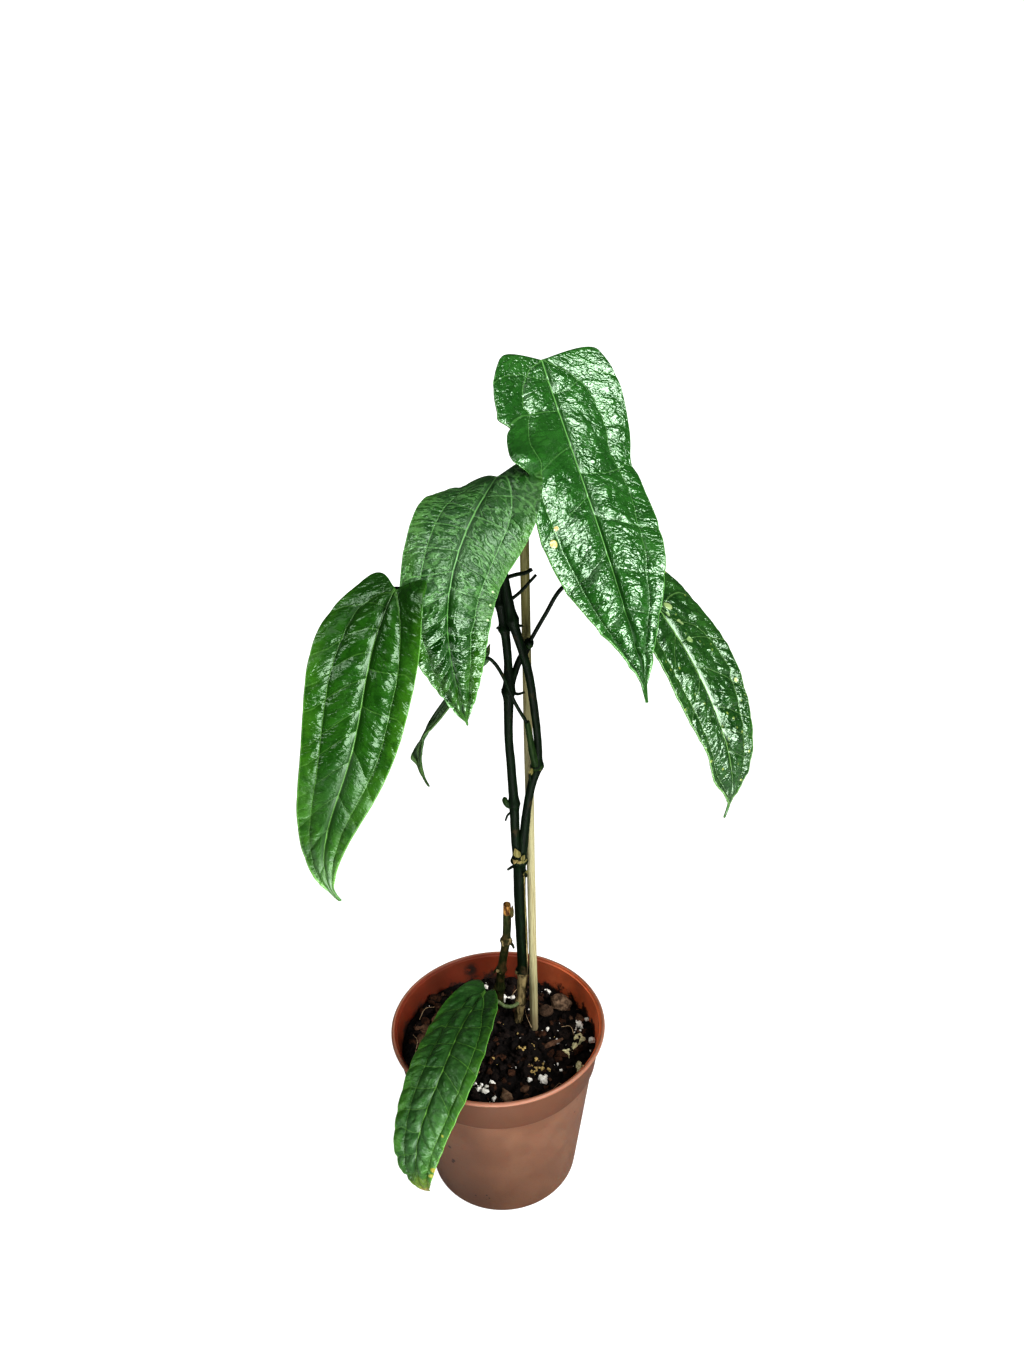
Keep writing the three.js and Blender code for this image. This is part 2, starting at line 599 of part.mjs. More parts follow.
const holes = [stakeSolid(GAP), plantStem(GAP), cutStem(GAP)];
const sockets = Object.values(LUMPS).map((lump) => lumpSolid(lump, GAP));
const mix = mainBody([...holes, ...sockets].reduce((rest, cut) => rest.subtract(cut), union([makeSoilBody(), ...chipSolids()])));
plant.add(namedMesh("potting_mix", mix, "#1d1613", 0.95));

plant.add(namedMesh("stake", stakeSolid(0), "#b9a878", 0.75));
plant.add(namedMesh("stem", plantStem(0), "#16301a", 0.45));
plant.add(namedMesh("cut_stem", cutStem(0), "#3c4a26", 0.6));

const stemSeat = plantStem(GAP);
for (const [name, leaf] of Object.entries(LEAVES)) {
  plant.add(namedMesh(name, makeLeaf(leaf, stemSeat), "#1f5a26", 0.3));
}

for (const [name, lump] of Object.entries(LUMPS)) {
  plant.add(namedMesh(name, lumpSolid(lump, 0), lump.color, lump.roughness));
}

export default plant;
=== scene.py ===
"""Looks of a potted climbing anthurium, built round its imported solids.

Lengths are written in millimetres, as on the part itself, and turned into metres when a mesh is made.
"""

import logging
import math
import random
from contextlib import contextmanager
from dataclasses import dataclass
from enum import Enum
from typing import Iterator, Sequence

import bpy
import numpy as np
from mathutils import Matrix, Vector, noise
from mathutils.bvhtree import BVHTree


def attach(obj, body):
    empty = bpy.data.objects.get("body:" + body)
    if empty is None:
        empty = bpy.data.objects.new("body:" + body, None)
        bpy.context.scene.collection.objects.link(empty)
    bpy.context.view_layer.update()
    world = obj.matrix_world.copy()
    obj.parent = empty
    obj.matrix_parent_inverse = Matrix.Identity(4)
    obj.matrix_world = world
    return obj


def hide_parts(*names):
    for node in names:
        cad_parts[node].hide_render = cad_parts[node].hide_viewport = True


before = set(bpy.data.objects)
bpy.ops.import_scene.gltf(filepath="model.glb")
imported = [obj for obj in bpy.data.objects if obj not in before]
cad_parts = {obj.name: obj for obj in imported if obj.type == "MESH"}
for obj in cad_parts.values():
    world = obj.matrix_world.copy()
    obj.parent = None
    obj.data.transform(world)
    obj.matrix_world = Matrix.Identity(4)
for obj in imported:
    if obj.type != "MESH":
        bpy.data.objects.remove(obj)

log = logging.getLogger("anthurium")

MM = 0.001
BODY = "root"
ROUND, CREASED, FACETED, MOULDED = 180, 50, 40, 35
Point = tuple[float, float, float]
Colour = tuple[float, float, float]
Array = np.ndarray
Object = bpy.types.Object
Material = bpy.types.Material


# Small tools


def deselect() -> None:
    """Clears the selection, so that an operator acts on nothing by chance."""
    bpy.ops.object.select_all(action="DESELECT")


def choose(*objects: Object) -> None:
    """Selects only these objects and makes the first one active.

    Args:
        objects: what the next operator acts on.
    """
    deselect()
    for item in objects:
        item.select_set(True)
    bpy.context.view_layer.objects.active = objects[0]


def named(name: str) -> Object:
    """Names the object that an operator has just added.

    Args:
        name: the piece's plain name.

    Returns:
        The new object.
    """
    item = bpy.context.object
    item.name = name
    item.data.name = name
    return item


@contextmanager
def editing(item: Object, select: str = "SELECT") -> Iterator[None]:
    """Opens a mesh for edit operators, with all or nothing of it selected.

    Args:
        item: the mesh object.
        select: the action that sets the selection.
    """
    choose(item)
    bpy.ops.object.mode_set(mode="EDIT")
    bpy.ops.mesh.select_all(action=select)
    yield
    bpy.ops.object.mode_set(mode="OBJECT")


def linked(name: str, data: bpy.types.ID) -> Object:
    """Puts an object into the scene and selects it.

    Args:
        name: the object's plain name.
        data: the mesh, curve, camera or light that it holds.

    Returns:
        The object.
    """
    item = bpy.data.objects.new(name, data)
    bpy.context.scene.collection.objects.link(item)
    choose(item)
    return item


def settle(item: Object, centre: Point, tilt: Point) -> None:
    """Moves an object, turns it, and passes its place, turn and scale on to its mesh.

    Args:
        item: the mesh object.
        centre: its place in millimetres.
        tilt: its turn about x, y and z in degrees.
    """
    item.location = Vector(centre) * MM
    item.rotation_euler = [math.radians(angle) for angle in tilt]
    choose(item)
    bpy.ops.object.transform_apply(location=True, rotation=True, scale=True)


def apply_modifier(item: Object, kind: str, **values: object) -> None:
    """Adds a modifier, sets it and applies it at once.

    Args:
        item: the mesh object.
        kind: Blender's name for the modifier type.
        values: the modifier's settings.
    """
    choose(item)
    modifier = item.modifiers.new(kind.lower(), kind)
    for key, value in values.items():
        setattr(modifier, key, value)
    bpy.ops.object.modifier_apply(modifier=modifier.name)


def recalculate(item: Object) -> None:
    """Merges doubled points and turns all faces outwards.

    Args:
        item: the mesh object.
    """
    with editing(item):
        bpy.ops.mesh.remove_doubles(threshold=1e-6)
        bpy.ops.mesh.normals_make_consistent(inside=False)


def smooth(item: Object, degrees: float) -> None:
    """Shades an object smooth, but for edges sharper than an angle.

    Args:
        item: the mesh object.
        degrees: the angle, or ROUND for no sharp edge at all.
    """
    choose(item)
    bpy.ops.object.shade_smooth()
    if degrees < ROUND:
        bpy.ops.object.shade_smooth_by_angle(angle=math.radians(degrees))


def read_points(item: Object) -> Array:
    """Reads an object's vertices.

    Args:
        item: the mesh object.

    Returns:
        A row for each vertex, in metres.
    """
    points = np.empty(len(item.data.vertices) * 3, np.float32)
    item.data.vertices.foreach_get("co", points)
    return points.reshape(-1, 3).astype(float)


def write_points(item: Object, points: Array) -> None:
    """Puts an array of rows, in metres, back as an object's vertices."""
    item.data.vertices.foreach_set("co", points.astype(np.float32).ravel())
    item.data.update()


def read_normals(item: Object) -> Array:
    """Reads an object's vertex normals.

    Args:
        item: the mesh object.

    Returns:
        A row for each vertex.
    """
    normals = np.empty(len(item.data.vertices) * 3, np.float32)
    item.data.vertex_normals.foreach_get("vector", normals)
    return normals.reshape(-1, 3).astype(float)


def write_attribute(item: Object, name: str, values: Array) -> None:
    """Stores a number or a vector for each vertex, for the finish to read.

    Args:
        item: the mesh object.
        name: the attribute's name.
        values: one row for each vertex.
    """
    vector = values.ndim == 2
    kind = "FLOAT_VECTOR" if vector else "FLOAT"
    attribute = item.data.attributes.get(name) or item.data.attributes.new(name, kind, "POINT")
    attribute.data.foreach_set("vector" if vector else "value", values.astype(np.float32).ravel())


def rough(points: Array, size: float, octaves: int = 3, seed: float = 0.0) -> Array:
    """Smooth random values from about -1 to 1 at points.

    Args:
        points: rows in millimetres.
        size: the width of one swelling, in millimetres.
        octaves: how many finer layers are added.
        seed: shifts the pattern.

    Returns:
        One value for each row.
    """
    shift = Vector((seed, 2.3 * seed, -1.7 * seed))
    scaled = points / size
    return np.array([noise.fractal(Vector(p) + shift, 0.9, 2.1, octaves) for p in scaled])


def along(values: Sequence[float], u: Array) -> Array:
    """Smooth values through numbers given at even stations (Catmull-Rom).

    Args:
        values: the numbers, from the first station to the last.
        u: where to read them, from 0 to 1.

    Returns:
        One value for each u.
    """
    v = np.asarray(values, float)
    padded = np.concatenate([[2 * v[0] - v[1]], v, [2 * v[-1] - v[-2]]])
    x = np.clip(u, 0, 1) * (len(v) - 1)
    i = np.minimum(x.astype(int), len(v) - 2)
    f = x - i
    a, b, c, d = (padded[i + k] for k in range(4))
    return 0.5 * (2 * b + (c - a) * f + (2 * a - 5 * b + 4 * c - d) * f**2 + (3 * b - a - 3 * c + d) * f**3)


def ease(low: float, high: float, x: Array) -> Array:
    """Smooth step from 0 at low to 1 at high."""
    f = np.clip((x - low) / (high - low), 0, 1)
    return f * f * (3 - 2 * f)


def bell(x: Array, width: float) -> Array:
    """Bell curve: 1 at 0, and e times less at the width."""
    return np.exp(-((x / width) ** 2))


def route(points: Sequence[Sequence[float]], step: float) -> Array:
    """Even samples of a smooth line through points.

    Args:
        points: rows of x, y, z and any more values, in millimetres.
        step: distance between samples.

    Returns:
        Rows like the given ones.
    """
    p = np.asarray(points, float)
    chord = np.linalg.norm(np.diff(p[:, :3], axis=0), axis=1) ** 0.5
    knots = np.concatenate([[0], np.cumsum(chord)])
    slopes = np.gradient(p, knots, axis=0, edge_order=1)
    fine = np.linspace(0, knots[-1], 40 * len(p))
    i = np.clip(np.searchsorted(knots, fine, side="right") - 1, 0, len(p) - 2)
    h = (knots[i + 1] - knots[i])[:, None]
    f = ((fine - knots[i])[:, None]) / h
    dense = (
        (2 * f**3 - 3 * f**2 + 1) * p[i]
        + (f**3 - 2 * f**2 + f) * h * slopes[i]
        + (3 * f**2 - 2 * f**3) * p[i + 1]
        + (f**3 - f**2) * h * slopes[i + 1]
    )
    run = np.concatenate([[0], np.cumsum(np.linalg.norm(np.diff(dense[:, :3], axis=0), axis=1))])
    count = max(3, int(round(run[-1] / step)) + 1)
    even = np.linspace(0, run[-1], count)
    return np.stack([np.interp(even, run, dense[:, k]) for k in range(p.shape[1])], axis=1)


def tube(name: str, rows: Array, sides: int = 16) -> Object:
    """Round closed tube along rows of x, y, z and radius.

    Args:
        name: the piece's name.
        rows: samples in millimetres.
        sides: faces round the tube.

    Returns:
        A mesh object.
    """
    curve = bpy.data.curves.new(name, "CURVE")
    curve.dimensions = "3D"
    curve.bevel_depth = MM
    curve.bevel_resolution = max(0, (sides - 4) // 2)
    curve.use_fill_caps = True
    spline = curve.splines.new("POLY")
    spline.points.add(len(rows) - 1)
    for spot, (x, y, z, radius) in zip(spline.points, rows):
        spot.co = (x * MM, y * MM, z * MM, 1)
        spot.radius = radius
    linked(name, curve)
    bpy.ops.object.convert(target="MESH")
    result = bpy.context.object
    recalculate(result)
    return result


def join(name: str, parts: Sequence[Object]) -> Object:
    """Joins objects in one piece.

    Args:
        name: the joined piece's name.
        parts: the objects, of which the first one is kept.

    Returns:
        The piece.
    """
    choose(*parts)
    if len(parts) > 1:
        bpy.ops.object.join()
    return named(name)


def place(
    name: str, parts: Sequence[Object], sharp: float, slot: str, material: Material, *nodes: str
) -> None:
    """Joins parts in one finished piece, dresses it and ties it to the plant's body.

    Args:
        name: the piece's name.
        parts: its objects.
        sharp: the angle in degrees past which an edge isn't shaded smooth, such as ROUND for none.
        slot: the name of a material slot; not used.
        material: the finish.
        nodes: the solids that the piece stands for.
    """
    item = join(name, parts)
    smooth(item, sharp)
    item.data.materials.clear()
    item.data.materials.append(material)
    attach(item, BODY)
    if nodes:
        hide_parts(*nodes)
    log.info("%s: %d faces", item.name, len(item.data.polygons))


# Finishes


class Wire:
    """A value inside a material, on which plain arithmetic adds Math nodes."""

    def __init__(self, graph: "Graph", socket: bpy.types.NodeSocket) -> None:
        """Keeps the graph, and the output socket that the value comes from."""
        self.graph = graph
        self.socket = socket

    def __add__(self, other: object) -> "Wire":
        """Returns the sum."""
        return self.graph.math("ADD", self, other)

    def __sub__(self, other: object) -> "Wire":
        """Returns the difference."""
        return self.graph.math("SUBTRACT", self, other)

    def __mul__(self, other: object) -> "Wire":
        """Returns the product."""
        return self.graph.math("MULTIPLY", self, other)

    def __abs__(self) -> "Wire":
        """Returns the value without its sign."""
        return self.graph.math("ABSOLUTE", self)

    def over(self, other: object) -> "Wire":
        """Returns the larger one of two values."""
        return self.graph.math("MAXIMUM", self, other)

    def step(self, low: float, high: float, start: float = 0.0, end: float = 1.0) -> "Wire":
        """Returns a smooth step of the value, from start at low to end at high."""
        inputs = {"Value": self, "From Min": low, "From Max": high, "To Min": start, "To Max": end}
        return self.graph.add("MapRange", inputs, interpolation_type="SMOOTHSTEP")


class Graph:
    """A material's nodes, with the colour and the relief that are laid on so far."""

    def __init__(self, name: str) -> None:
        """Starts an empty material.

        Args:
            name: the finish's plain name.
        """
        self.material = bpy.data.materials.new(name)
        self.material.use_nodes = True
        self.tree = self.material.node_tree
        self.shader = self.tree.nodes["Principled BSDF"]
        self.place = self.add("TexCoord", {}, "Object")
        self.colour: object = None
        self.relief: Wire | None = None

    def add(self, kind: str, inputs: dict, output: str | int = 0, **settings: object) -> Wire:
        """Adds a node.

        Args:
            kind: the node's type, without the words that every shader node's type begins with.
            inputs: what its input sockets get, by name or number.
            output: the output socket that is read.
            settings: properties of the node.

        Returns:
            The value at the output.
        """
        node = self.tree.nodes.new("ShaderNode" + kind)
        for key, value in settings.items():
            setattr(node, key, value)
        for key, value in inputs.items():
            self.feed(node.inputs[key], value)
        return Wire(self, node.outputs[output])

    def feed(self, socket: bpy.types.NodeSocket, value: object) -> None:
        """Links a socket to a wire, or sets its value.

        Args:
            socket: the input of a node.
            value: a wire, a number or a colour.
        """
        if isinstance(value, Wire):
            self.tree.links.new(value.socket, socket)
        else:
            socket.default_value = (*value, 1) if socket.type == "RGBA" else value

    def math(self, operation: str, a: object, b: object = 0.0) -> Wire:
        """Returns the result of a Math node."""
        return self.add("Math", {0: a, 1: b}, operation=operation)

    def mix(self, factor: Wire, a: object, b: object) -> Wire:
        """Returns a mix of two colours."""
        return self.add("Mix", {0: factor, 6: a, 7: b}, 2, data_type="RGBA")

    def paint(self, factor: Wire, colour: object) -> None:
        """Lays a colour over the colour so far."""
        self.colour = self.mix(factor, self.colour, colour)

    def noise(self, size: float, detail: float = 3.0, roughness: float = 0.55, where: Wire | None = None) -> Wire:
        """Returns soft random values from 0 to 1.

        Args:
            size: width of one swelling, in millimetres.
            detail: how many finer layers.
            roughness: how strong they are.
            where: coordinates in metres, or None for the object's own.

        Returns:
            The values.
        """
        inputs = {"Vector": where or self.place, "Scale": 1 / (size * MM), "Detail": detail, "Roughness": roughness}
        return self.add("TexNoise", inputs, "Fac")

    def cells(self, size: float, where: Wire) -> Wire:
        """Returns the distance from the nearest of random points, with their spacing in millimetres."""
        return self.add("TexVoronoi", {"Vector": where, "Scale": 1 / (size * MM)}, "Distance", feature="F1")

    def creases(self, size: float, width: float, detail: float, where: Wire) -> Wire:
        """Returns 0 along random creases, rising to 1 on the pillows between them.

        Args:
            size: spacing of the creases, in millimetres.
            width: how wide a crease is, from 0 to 0.3.
            detail: how many finer layers.
            where: coordinates in metres.

        Returns:
            The values.
        """
        return abs(self.noise(size, detail, 0.5, where) - 0.5).step(0.0, width)

    def attribute(self, name: str, output: str = "Vector") -> Wire:
        """Returns the value of a mesh attribute."""
        return self.add("Attribute", {}, output, attribute_name=name)

    def split(self, vector: Wire) -> list[Wire]:
        """Returns the x, y and z of a vector."""
        return [self.add("SeparateXYZ", {0: vector}, axis) for axis in range(3)]

    def stretch(self, scale: Point, turn: float = 0.0, where: Wire | None = None) -> Wire:
        """Returns coordinates in which a pattern is drawn out.

        Args:
            scale: how many times longer the pattern gets along x, y and z.
            turn: angle about Z, in radians, by which the drawn-out pattern is turned.
            where: coordinates in metres, or None for the object's own.

        Returns:
            The coordinates.
        """
        inputs = {"Vector": where or self.place, "Scale": scale, "Rotation": (0, 0, turn)}
        return self.add("Mapping", inputs, vector_type="TEXTURE")

    def near(self, centre: Point, radius: float, soft: float, where: Wire | None = None) -> Wire:
        """Finds what lies near a point.

        Args:
            centre: the point in millimetres.
            radius: how far round it the value is 1.
            soft: the width of the edge in which the value falls to 0.
            where: coordinates in metres, or None for the object's own.

        Returns:
            Values from 1 to 0.
        """
        inputs = {0: where or self.place, 1: tuple(c * MM for c in centre)}
        far = self.add("VectorMath", inputs, "Value", operation="DISTANCE")
        return far.step(radius * MM, (radius + soft) * MM, 1, 0)

    def emboss(self, height: Wire, depth: float) -> None:
        """Lays relief of a depth in millimetres over the relief so far."""
        below = {"Normal": self.relief} if self.relief else {}
        self.relief = self.add("Bump", {"Height": height, "Distance": depth * MM, **below})

    def finish(self, roughness: object, **values: object) -> Material:
        """Feeds the shader with the colour and the relief.

        Args:
            roughness: roughness of the surface.
            values: more of the shader's sockets, by name with underscores for blanks.

        Returns:
            The material.
        """
        values |= {"Base Color": self.colour, "Roughness": roughness}
        if self.relief:
            values["Normal"] = self.relief
        for key, value in values.items():
            self.feed(self.shader.inputs[key.replace("_", " ")], value)
        return self.material


@dataclass(frozen=True)
class LeafFinish:
    """Finish of a blade: greens in patches, veins, margin, gloss and fine wrinkles, with painted shade in the creases
    and beside the veins and a painted highlight along the wrinkles.

    Colours are linear. gloss is the roughness towards the base and towards the tip, net the depth of the
    fine relief in millimetres and tip_net its share towards the tip. rib_show, ridge_highlight, edge_light,
    tip_yellow and speckle say how strongly each of these stands out, from 0 to 1, and shine how much the
    skin mirrors; ridge_highlight is a painted highlight along the wrinkles. spots are rows of place along and
    across the blade, radius and colour.
    """

    name: str
    deep: Colour
    light: Colour
    vein: Colour
    gloss: tuple[float, float]
    net: float
    under: Colour = (0.05, 0.15, 0.03)
    rib_show: float = 0.45
    edge_light: float = 0.0
    tip_yellow: float = 0.0
    speckle: float = 0.0
    tip_net: float = 1.0
    ridge_highlight: float = 0.0
    shine: float = 0.65
    spots: tuple[tuple[float, float, float, Colour], ...] = ()

    LINE = (0.08, 0.42)
    # GROOVE is the band beside a vein, in millimetres, that is painted darker as shade in its groove.
    GROOVE = (0.2, 1.5)
    TIPWARDS = (0.42, 0.62)
    MARGIN_SHOW = 0.5
    EDGE_GREEN = (0.06, 0.19, 0.01)
    WORN_GREEN = (0.2, 0.25, 0.02)
    SPECK_GREEN = (0.35, 0.42, 0.1)
    MIRROR_TINT = (0.76, 1, 0.76)

    def shade(self, share: float) -> Colour:
        """Returns a darker tone of the deep green, for painted shade."""
        return tuple(share * c for c in self.deep)

    def make(self) -> Material:
        """Builds the finish.

        Returns:
            The material.
        """
        g = Graph(self.name)
        middle, count, ring = g.split(g.attribute("veins"))
        rim, reach, pitch = g.split(g.attribute("zones"))
        laid = g.attribute("laid")
        under = g.attribute("under", "Fac")
        waver = (g.noise(4, 2, where=laid) - 0.5) * 0.9
        rib = abs(g.math("PINGPONG", count, 0.5) * pitch + waver * 0.6)
        band = abs(ring + waver * 0.7)
        spine = abs(middle)
        calm = spine.step(0.7, 2.8)
        wrinkles = g.creases(3.4, 0.13, 3, g.stretch((1, 2.2, 1), -0.4, laid)) * calm
        wrinkles = wrinkles * reach.step(*self.TIPWARDS, 1, self.tip_net)
        crinkles = g.creases(1.7, 0.16, 2, g.stretch((1, 1.8, 1), -0.3, laid)) * calm
        g.colour = g.mix(g.noise(15, 4, 0.6, laid).step(0.36, 0.66), self.deep, self.light)
        # Painted shade: darker along the wrinkle creases.
        g.paint(wrinkles.step(0, 1, 0.45, 0), self.shade(0.5))
        g.paint(crinkles.step(0, 1, 0.3, 0), self.light)
        # Painted highlight: thin pale lines along the wrinkles in the upper blade, for lit ridges.
        if self.ridge_highlight:
            ridges = wrinkles.step(0, 0.45, self.ridge_highlight, 0) * reach.step(0.42, 0.6, 1, 0)
            g.paint(ridges * calm, self.vein)
        # Painted shade: darker beside the side veins, the ring vein and the midrib, as shade in their grooves.
        groove = rib.step(*self.GROOVE, 0.6, 0).over(band.step(*self.GROOVE, 0.8, 0))
        g.paint(groove.over(spine.step(0.5, 2, 1, 0)) * 0.6, self.shade(0.45))
        pale = rib.step(*self.LINE, 0.7, 0).over(band.step(*self.LINE, 1, 0)) * reach.step(0.35, 0.95, 1, 0.3)
        g.paint(pale * self.rib_show, self.vein)
        g.paint(spine.step(0.2, 0.6, 1, 0) * reach.step(0.75, 0.94, 1, 0.1) * 0.6, self.vein)
        g.paint(rim.step(0.25, 0.6, 1, 0) * reach.step(0.86, 0.94, self.MARGIN_SHOW, 0), self.vein)
        if self.edge_light:
            strip = rim.step(1.5, 8, 1, 0) * self.edge_light
            g.paint(strip * g.noise(7, 3, where=laid).step(0.3, 0.6), self.EDGE_GREEN)
        if self.tip_yellow:
            worn = reach.step(0.8, 0.98) * g.noise(8, 4, 0.6, laid).step(0.36, 0.62, 0.2, 1)
            g.paint(worn * self.tip_yellow, self.WORN_GREEN)
        if self.speckle:
            dots = g.cells(4.5, laid).step(0.08, 0.2, self.speckle, 0)
            g.paint(dots * g.noise(22, 2, where=laid).step(0.46, 0.56), self.SPECK_GREEN)
        here = g.add("CombineXYZ", {0: g.split(laid)[0] + waver * MM, 1: (middle + waver) * MM})
        for x, y, radius, colour in self.spots:
            g.paint(g.near((x, y, 0), radius, 0.5 * radius, here), colour)
        g.paint(under, self.under)
        g.emboss(wrinkles, self.net)
        g.emboss(crinkles, 0.4 * self.net)
        g.emboss(g.noise(0.7, 2, where=laid), 0.12 * self.net)
        rough_share = reach.step(*self.TIPWARDS, *self.gloss) + g.noise(9, 3, where=laid).step(0.3, 0.7, -0.04, 0.06)
        return g.finish(
            rough_share.over(under * 0.6), Specular_IOR_Level=self.shine, Specular_Tint=self.MIRROR_TINT
        )


@dataclass(frozen=True)
class StemFinish:
    """Finish of a stem: skin with fine ridges, and corky patches.

    corky is the share of cork, from 0 to 1. Below woody_below and above tan_above, both heights in
    millimetres that may be left out, the skin is dry wood.
    """

    name: str
    skin: Colour
    light: Colour
    cork: Colour
    corky: float
    gloss: float = 0.5
    woody_below: float = 0.0
    tan_above: float = 0.0

    WOOD = ((0.03, 0.025, 0.012), (0.32, 0.25, 0.12))
    TAN = ((0.07, 0.03, 0.01), (0.36, 0.19, 0.05))
    EDGE = 0.8

    def make(self) -> Material:
        """Builds the finish.

        Returns:
            The material.
        """
        g = Graph(self.name)
        ridges = g.noise(1.1, 3, 0.6, g.stretch((1, 1, 8)))
        g.colour = g.mix(ridges.step(0.4, 0.75), self.skin, self.light)
        patches = g.noise(9, 5, 0.65).step(0.62 - 0.4 * self.corky, 0.74 - 0.3 * self.corky)
        g.paint(patches * 0.85, self.cork)
        height = g.split(g.place)[2]
        if self.woody_below:
            wood = g.mix(g.noise(3, 4, 0.6, g.stretch((1, 1, 4))).step(0.4, 0.6), *self.WOOD)
            g.paint(height.step(self.woody_below * MM, (self.woody_below + self.EDGE) * MM, 0.9, 0), wood)
        if self.tan_above:
            tan = g.mix(g.noise(2, 4, 0.6, g.stretch((1, 1, 3))).step(0.42, 0.6), *self.TAN)
            g.paint(height.step(self.tan_above * MM, (self.tan_above + self.EDGE) * MM), tan)
        g.emboss(g.noise(0.8, 3), 0.08)
        g.emboss(ridges, 0.25)
        return g.finish(patches.step(0, 1, self.gloss, 0.75), Specular_IOR_Level=0.06)


@dataclass(frozen=True)
class GritFinish:
    """Finish of crumbs, bark, stones and perlite: one earth colour, mottled and rough."""

    name: str
    dark: Colour
    light: Colour
    size: float
    depth: float

    def make(self) -> Material:
        """Builds the finish.

        Returns:
            The material.
        """
        g = Graph(self.name)
        mottle = g.noise(self.size, 5, 0.65)
        g.colour = g.mix(mottle.step(0.32, 0.7), self.dark, self.light)
        g.emboss(mottle, 2 * self.depth)
        g.emboss(g.noise(self.size / 3, 4, 0.7), self.depth)
        return g.finish(0.9, Specular_IOR_Level=0.15)


@dataclass(frozen=True)
class WoodFinish:
    """Finish of the stake: pale split wood with long fibres, weathered green in its upper part."""

    name: str = "stake wood"
    pale: Colour = (0.24, 0.225, 0.125)
    grain: Colour = (0.155, 0.12, 0.055)
    hairline: Colour = (0.06, 0.04, 0.018)
    aged: Colour = (0.09, 0.085, 0.02)
    low_darkening: Colour = (0.1, 0.07, 0.04)

    def make(self) -> Material:
        """Builds the finish.

        Returns:
            The material.
        """
        g = Graph(self.name)
        fibres = g.noise(0.9, 4, 0.6, g.stretch((1, 1, 50)))
        streaks = g.noise(1.8, 3, 0.6, g.stretch((1, 1, 20)))
        g.colour = g.mix(fibres.step(0.48, 0.72), self.pale, self.grain)
        g.paint(g.noise(0.45, 2, 0.5, g.stretch((1, 1, 60))).step(0.6, 0.68, 0, 0.6), self.hairline)
        height = g.split(g.place)[2]
        g.paint(height.step(0.2, 0.38, 0, 0.95) * streaks.step(0.25, 0.6, 0.5, 1), self.aged)
        # Darker towards the bottom, below 0.09 to 0.1 m.
        g.paint(height.step(0.09, 0.1, 0.6, 0), self.low_darkening)
        g.emboss(streaks, 0.3)
        g.emboss(fibres, 0.3)
        return g.finish(0.62, Specular_IOR_Level=0.15)


@dataclass(frozen=True)
class PlasticFinish:
    """Finish of the pot: thin moulded plastic with dust and dirt; its inside is painted redder and brighter towards +x
    as painted light coming through the wall, and its lip painted lighter as a painted highlight.

    The edges are the heights in metres between which the collar's colour and the lip's painted highlight begin, stain
    is the place of the smear inside the far wall, and SPOTS are the dark specks' places and radii.
    """

    name: str = "pot plastic"
    outside: Colour = (0.115, 0.051, 0.027)
    dusty: Colour = (0.145, 0.071, 0.041)
    collar: Colour = (0.052, 0.0165, 0.0062)
    # lip: a painted highlight, the rolled lip painted lighter than the collar
    lip: Colour = (0.2, 0.09, 0.055)
    # inside and lit: painted light, the inner wall redder than the outside and brighter towards +x, as light through
    # the wall
    inside: Colour = (0.12, 0.021, 0.008)
    lit: Colour = (0.75, 0.19, 0.075)
    dirt: Colour = (0.02, 0.011, 0.008)
    collar_edge: tuple[float, float] = (0.0775, 0.0791)
    lip_highlight_edge: tuple[float, float] = (0.0999, 0.1007)
    stain: Point = (-17.8, 56, 93)

    SPOTS = (
        ((-28.7, -40.3, 50.9), 0.9), ((-27.2, -39.2, 39.1), 1), ((-27.8, -38.4, 37.2), 0.7),
        ((-16.2, -40.7, 12.7), 0.4), ((-8.5, -43.1, 13), 0.4), ((40.6, -31.4, 63.8), 0.5),
        ((42.1, -31.9, 73.6), 0.4), ((-9.9, -43.1, 15.4), 0.4),
    )

    def make(self, soil_level: float) -> Material:
        """Builds the material.

        Args:
            soil_level: height of the mix, in millimetres.

        Returns:
            The material.
        """
        g = Graph(self.name)
        x, _, z = g.split(g.place)
        within = g.attribute("within", "Fac")
        haze = g.noise(22, 5, 0.6)
        g.colour = g.mix(haze.step(0.3, 0.7), self.outside, self.dusty)
        g.paint(z.step(*self.collar_edge, 0, 0.75), self.collar)
        g.paint(g.noise(1.2, 3).step(0.5, 0.8, 0, 0.25), self.collar)
        # Painted highlight: the rolled lip is painted lighter.
        g.paint(z.step(*self.lip_highlight_edge), self.lip)
        # Painted light: the inner wall is painted redder than the outside and brighter towards +x, for light coming
        # through the wall.
        glow = g.mix(x.step(0.015, 0.05), self.inside, self.lit)
        g.paint(within, g.mix(g.noise(12, 4).step(0.3, 0.7, 0, 0.3), glow, self.collar))
        splash = z - (g.noise(7, 5, 0.7) - 0.45) * 0.03
        soiled = splash.step((soil_level - 2) * MM, (soil_level + 3) * MM, 1, 0) * within
        soiled = soiled.over(g.near(self.stain, 3, 4) * g.noise(2.5, 4, 0.7).step(0.36, 0.48))
        specks = g.noise(1.5, 2).step(0.7, 0.75) * g.noise(16, 2).step(0.5, 0.6)
        soiled = soiled.over(specks * z.step(0.004, 0.03, 0.9, 0.3))
        for spot, size in self.SPOTS:
            soiled = soiled.over(g.near(spot, size, 0.3))
        g.paint(soiled, self.dirt)
        g.emboss(g.noise(0.7, 2), 0.03)
        return g.finish(
            haze.step(0.3, 0.7, 0.42, 0.55), Specular_IOR_Level=0.25, Subsurface_Weight=0.25,
            Subsurface_Radius=(1.0, 0.2, 0.08), Subsurface_Scale=0.002,
        )


# Leaves


@dataclass(frozen=True)
class Dent:
    """A notch in a margin (a negative depth makes a bulge)."""

    side: int
    at: float
    depth: float
    span: float


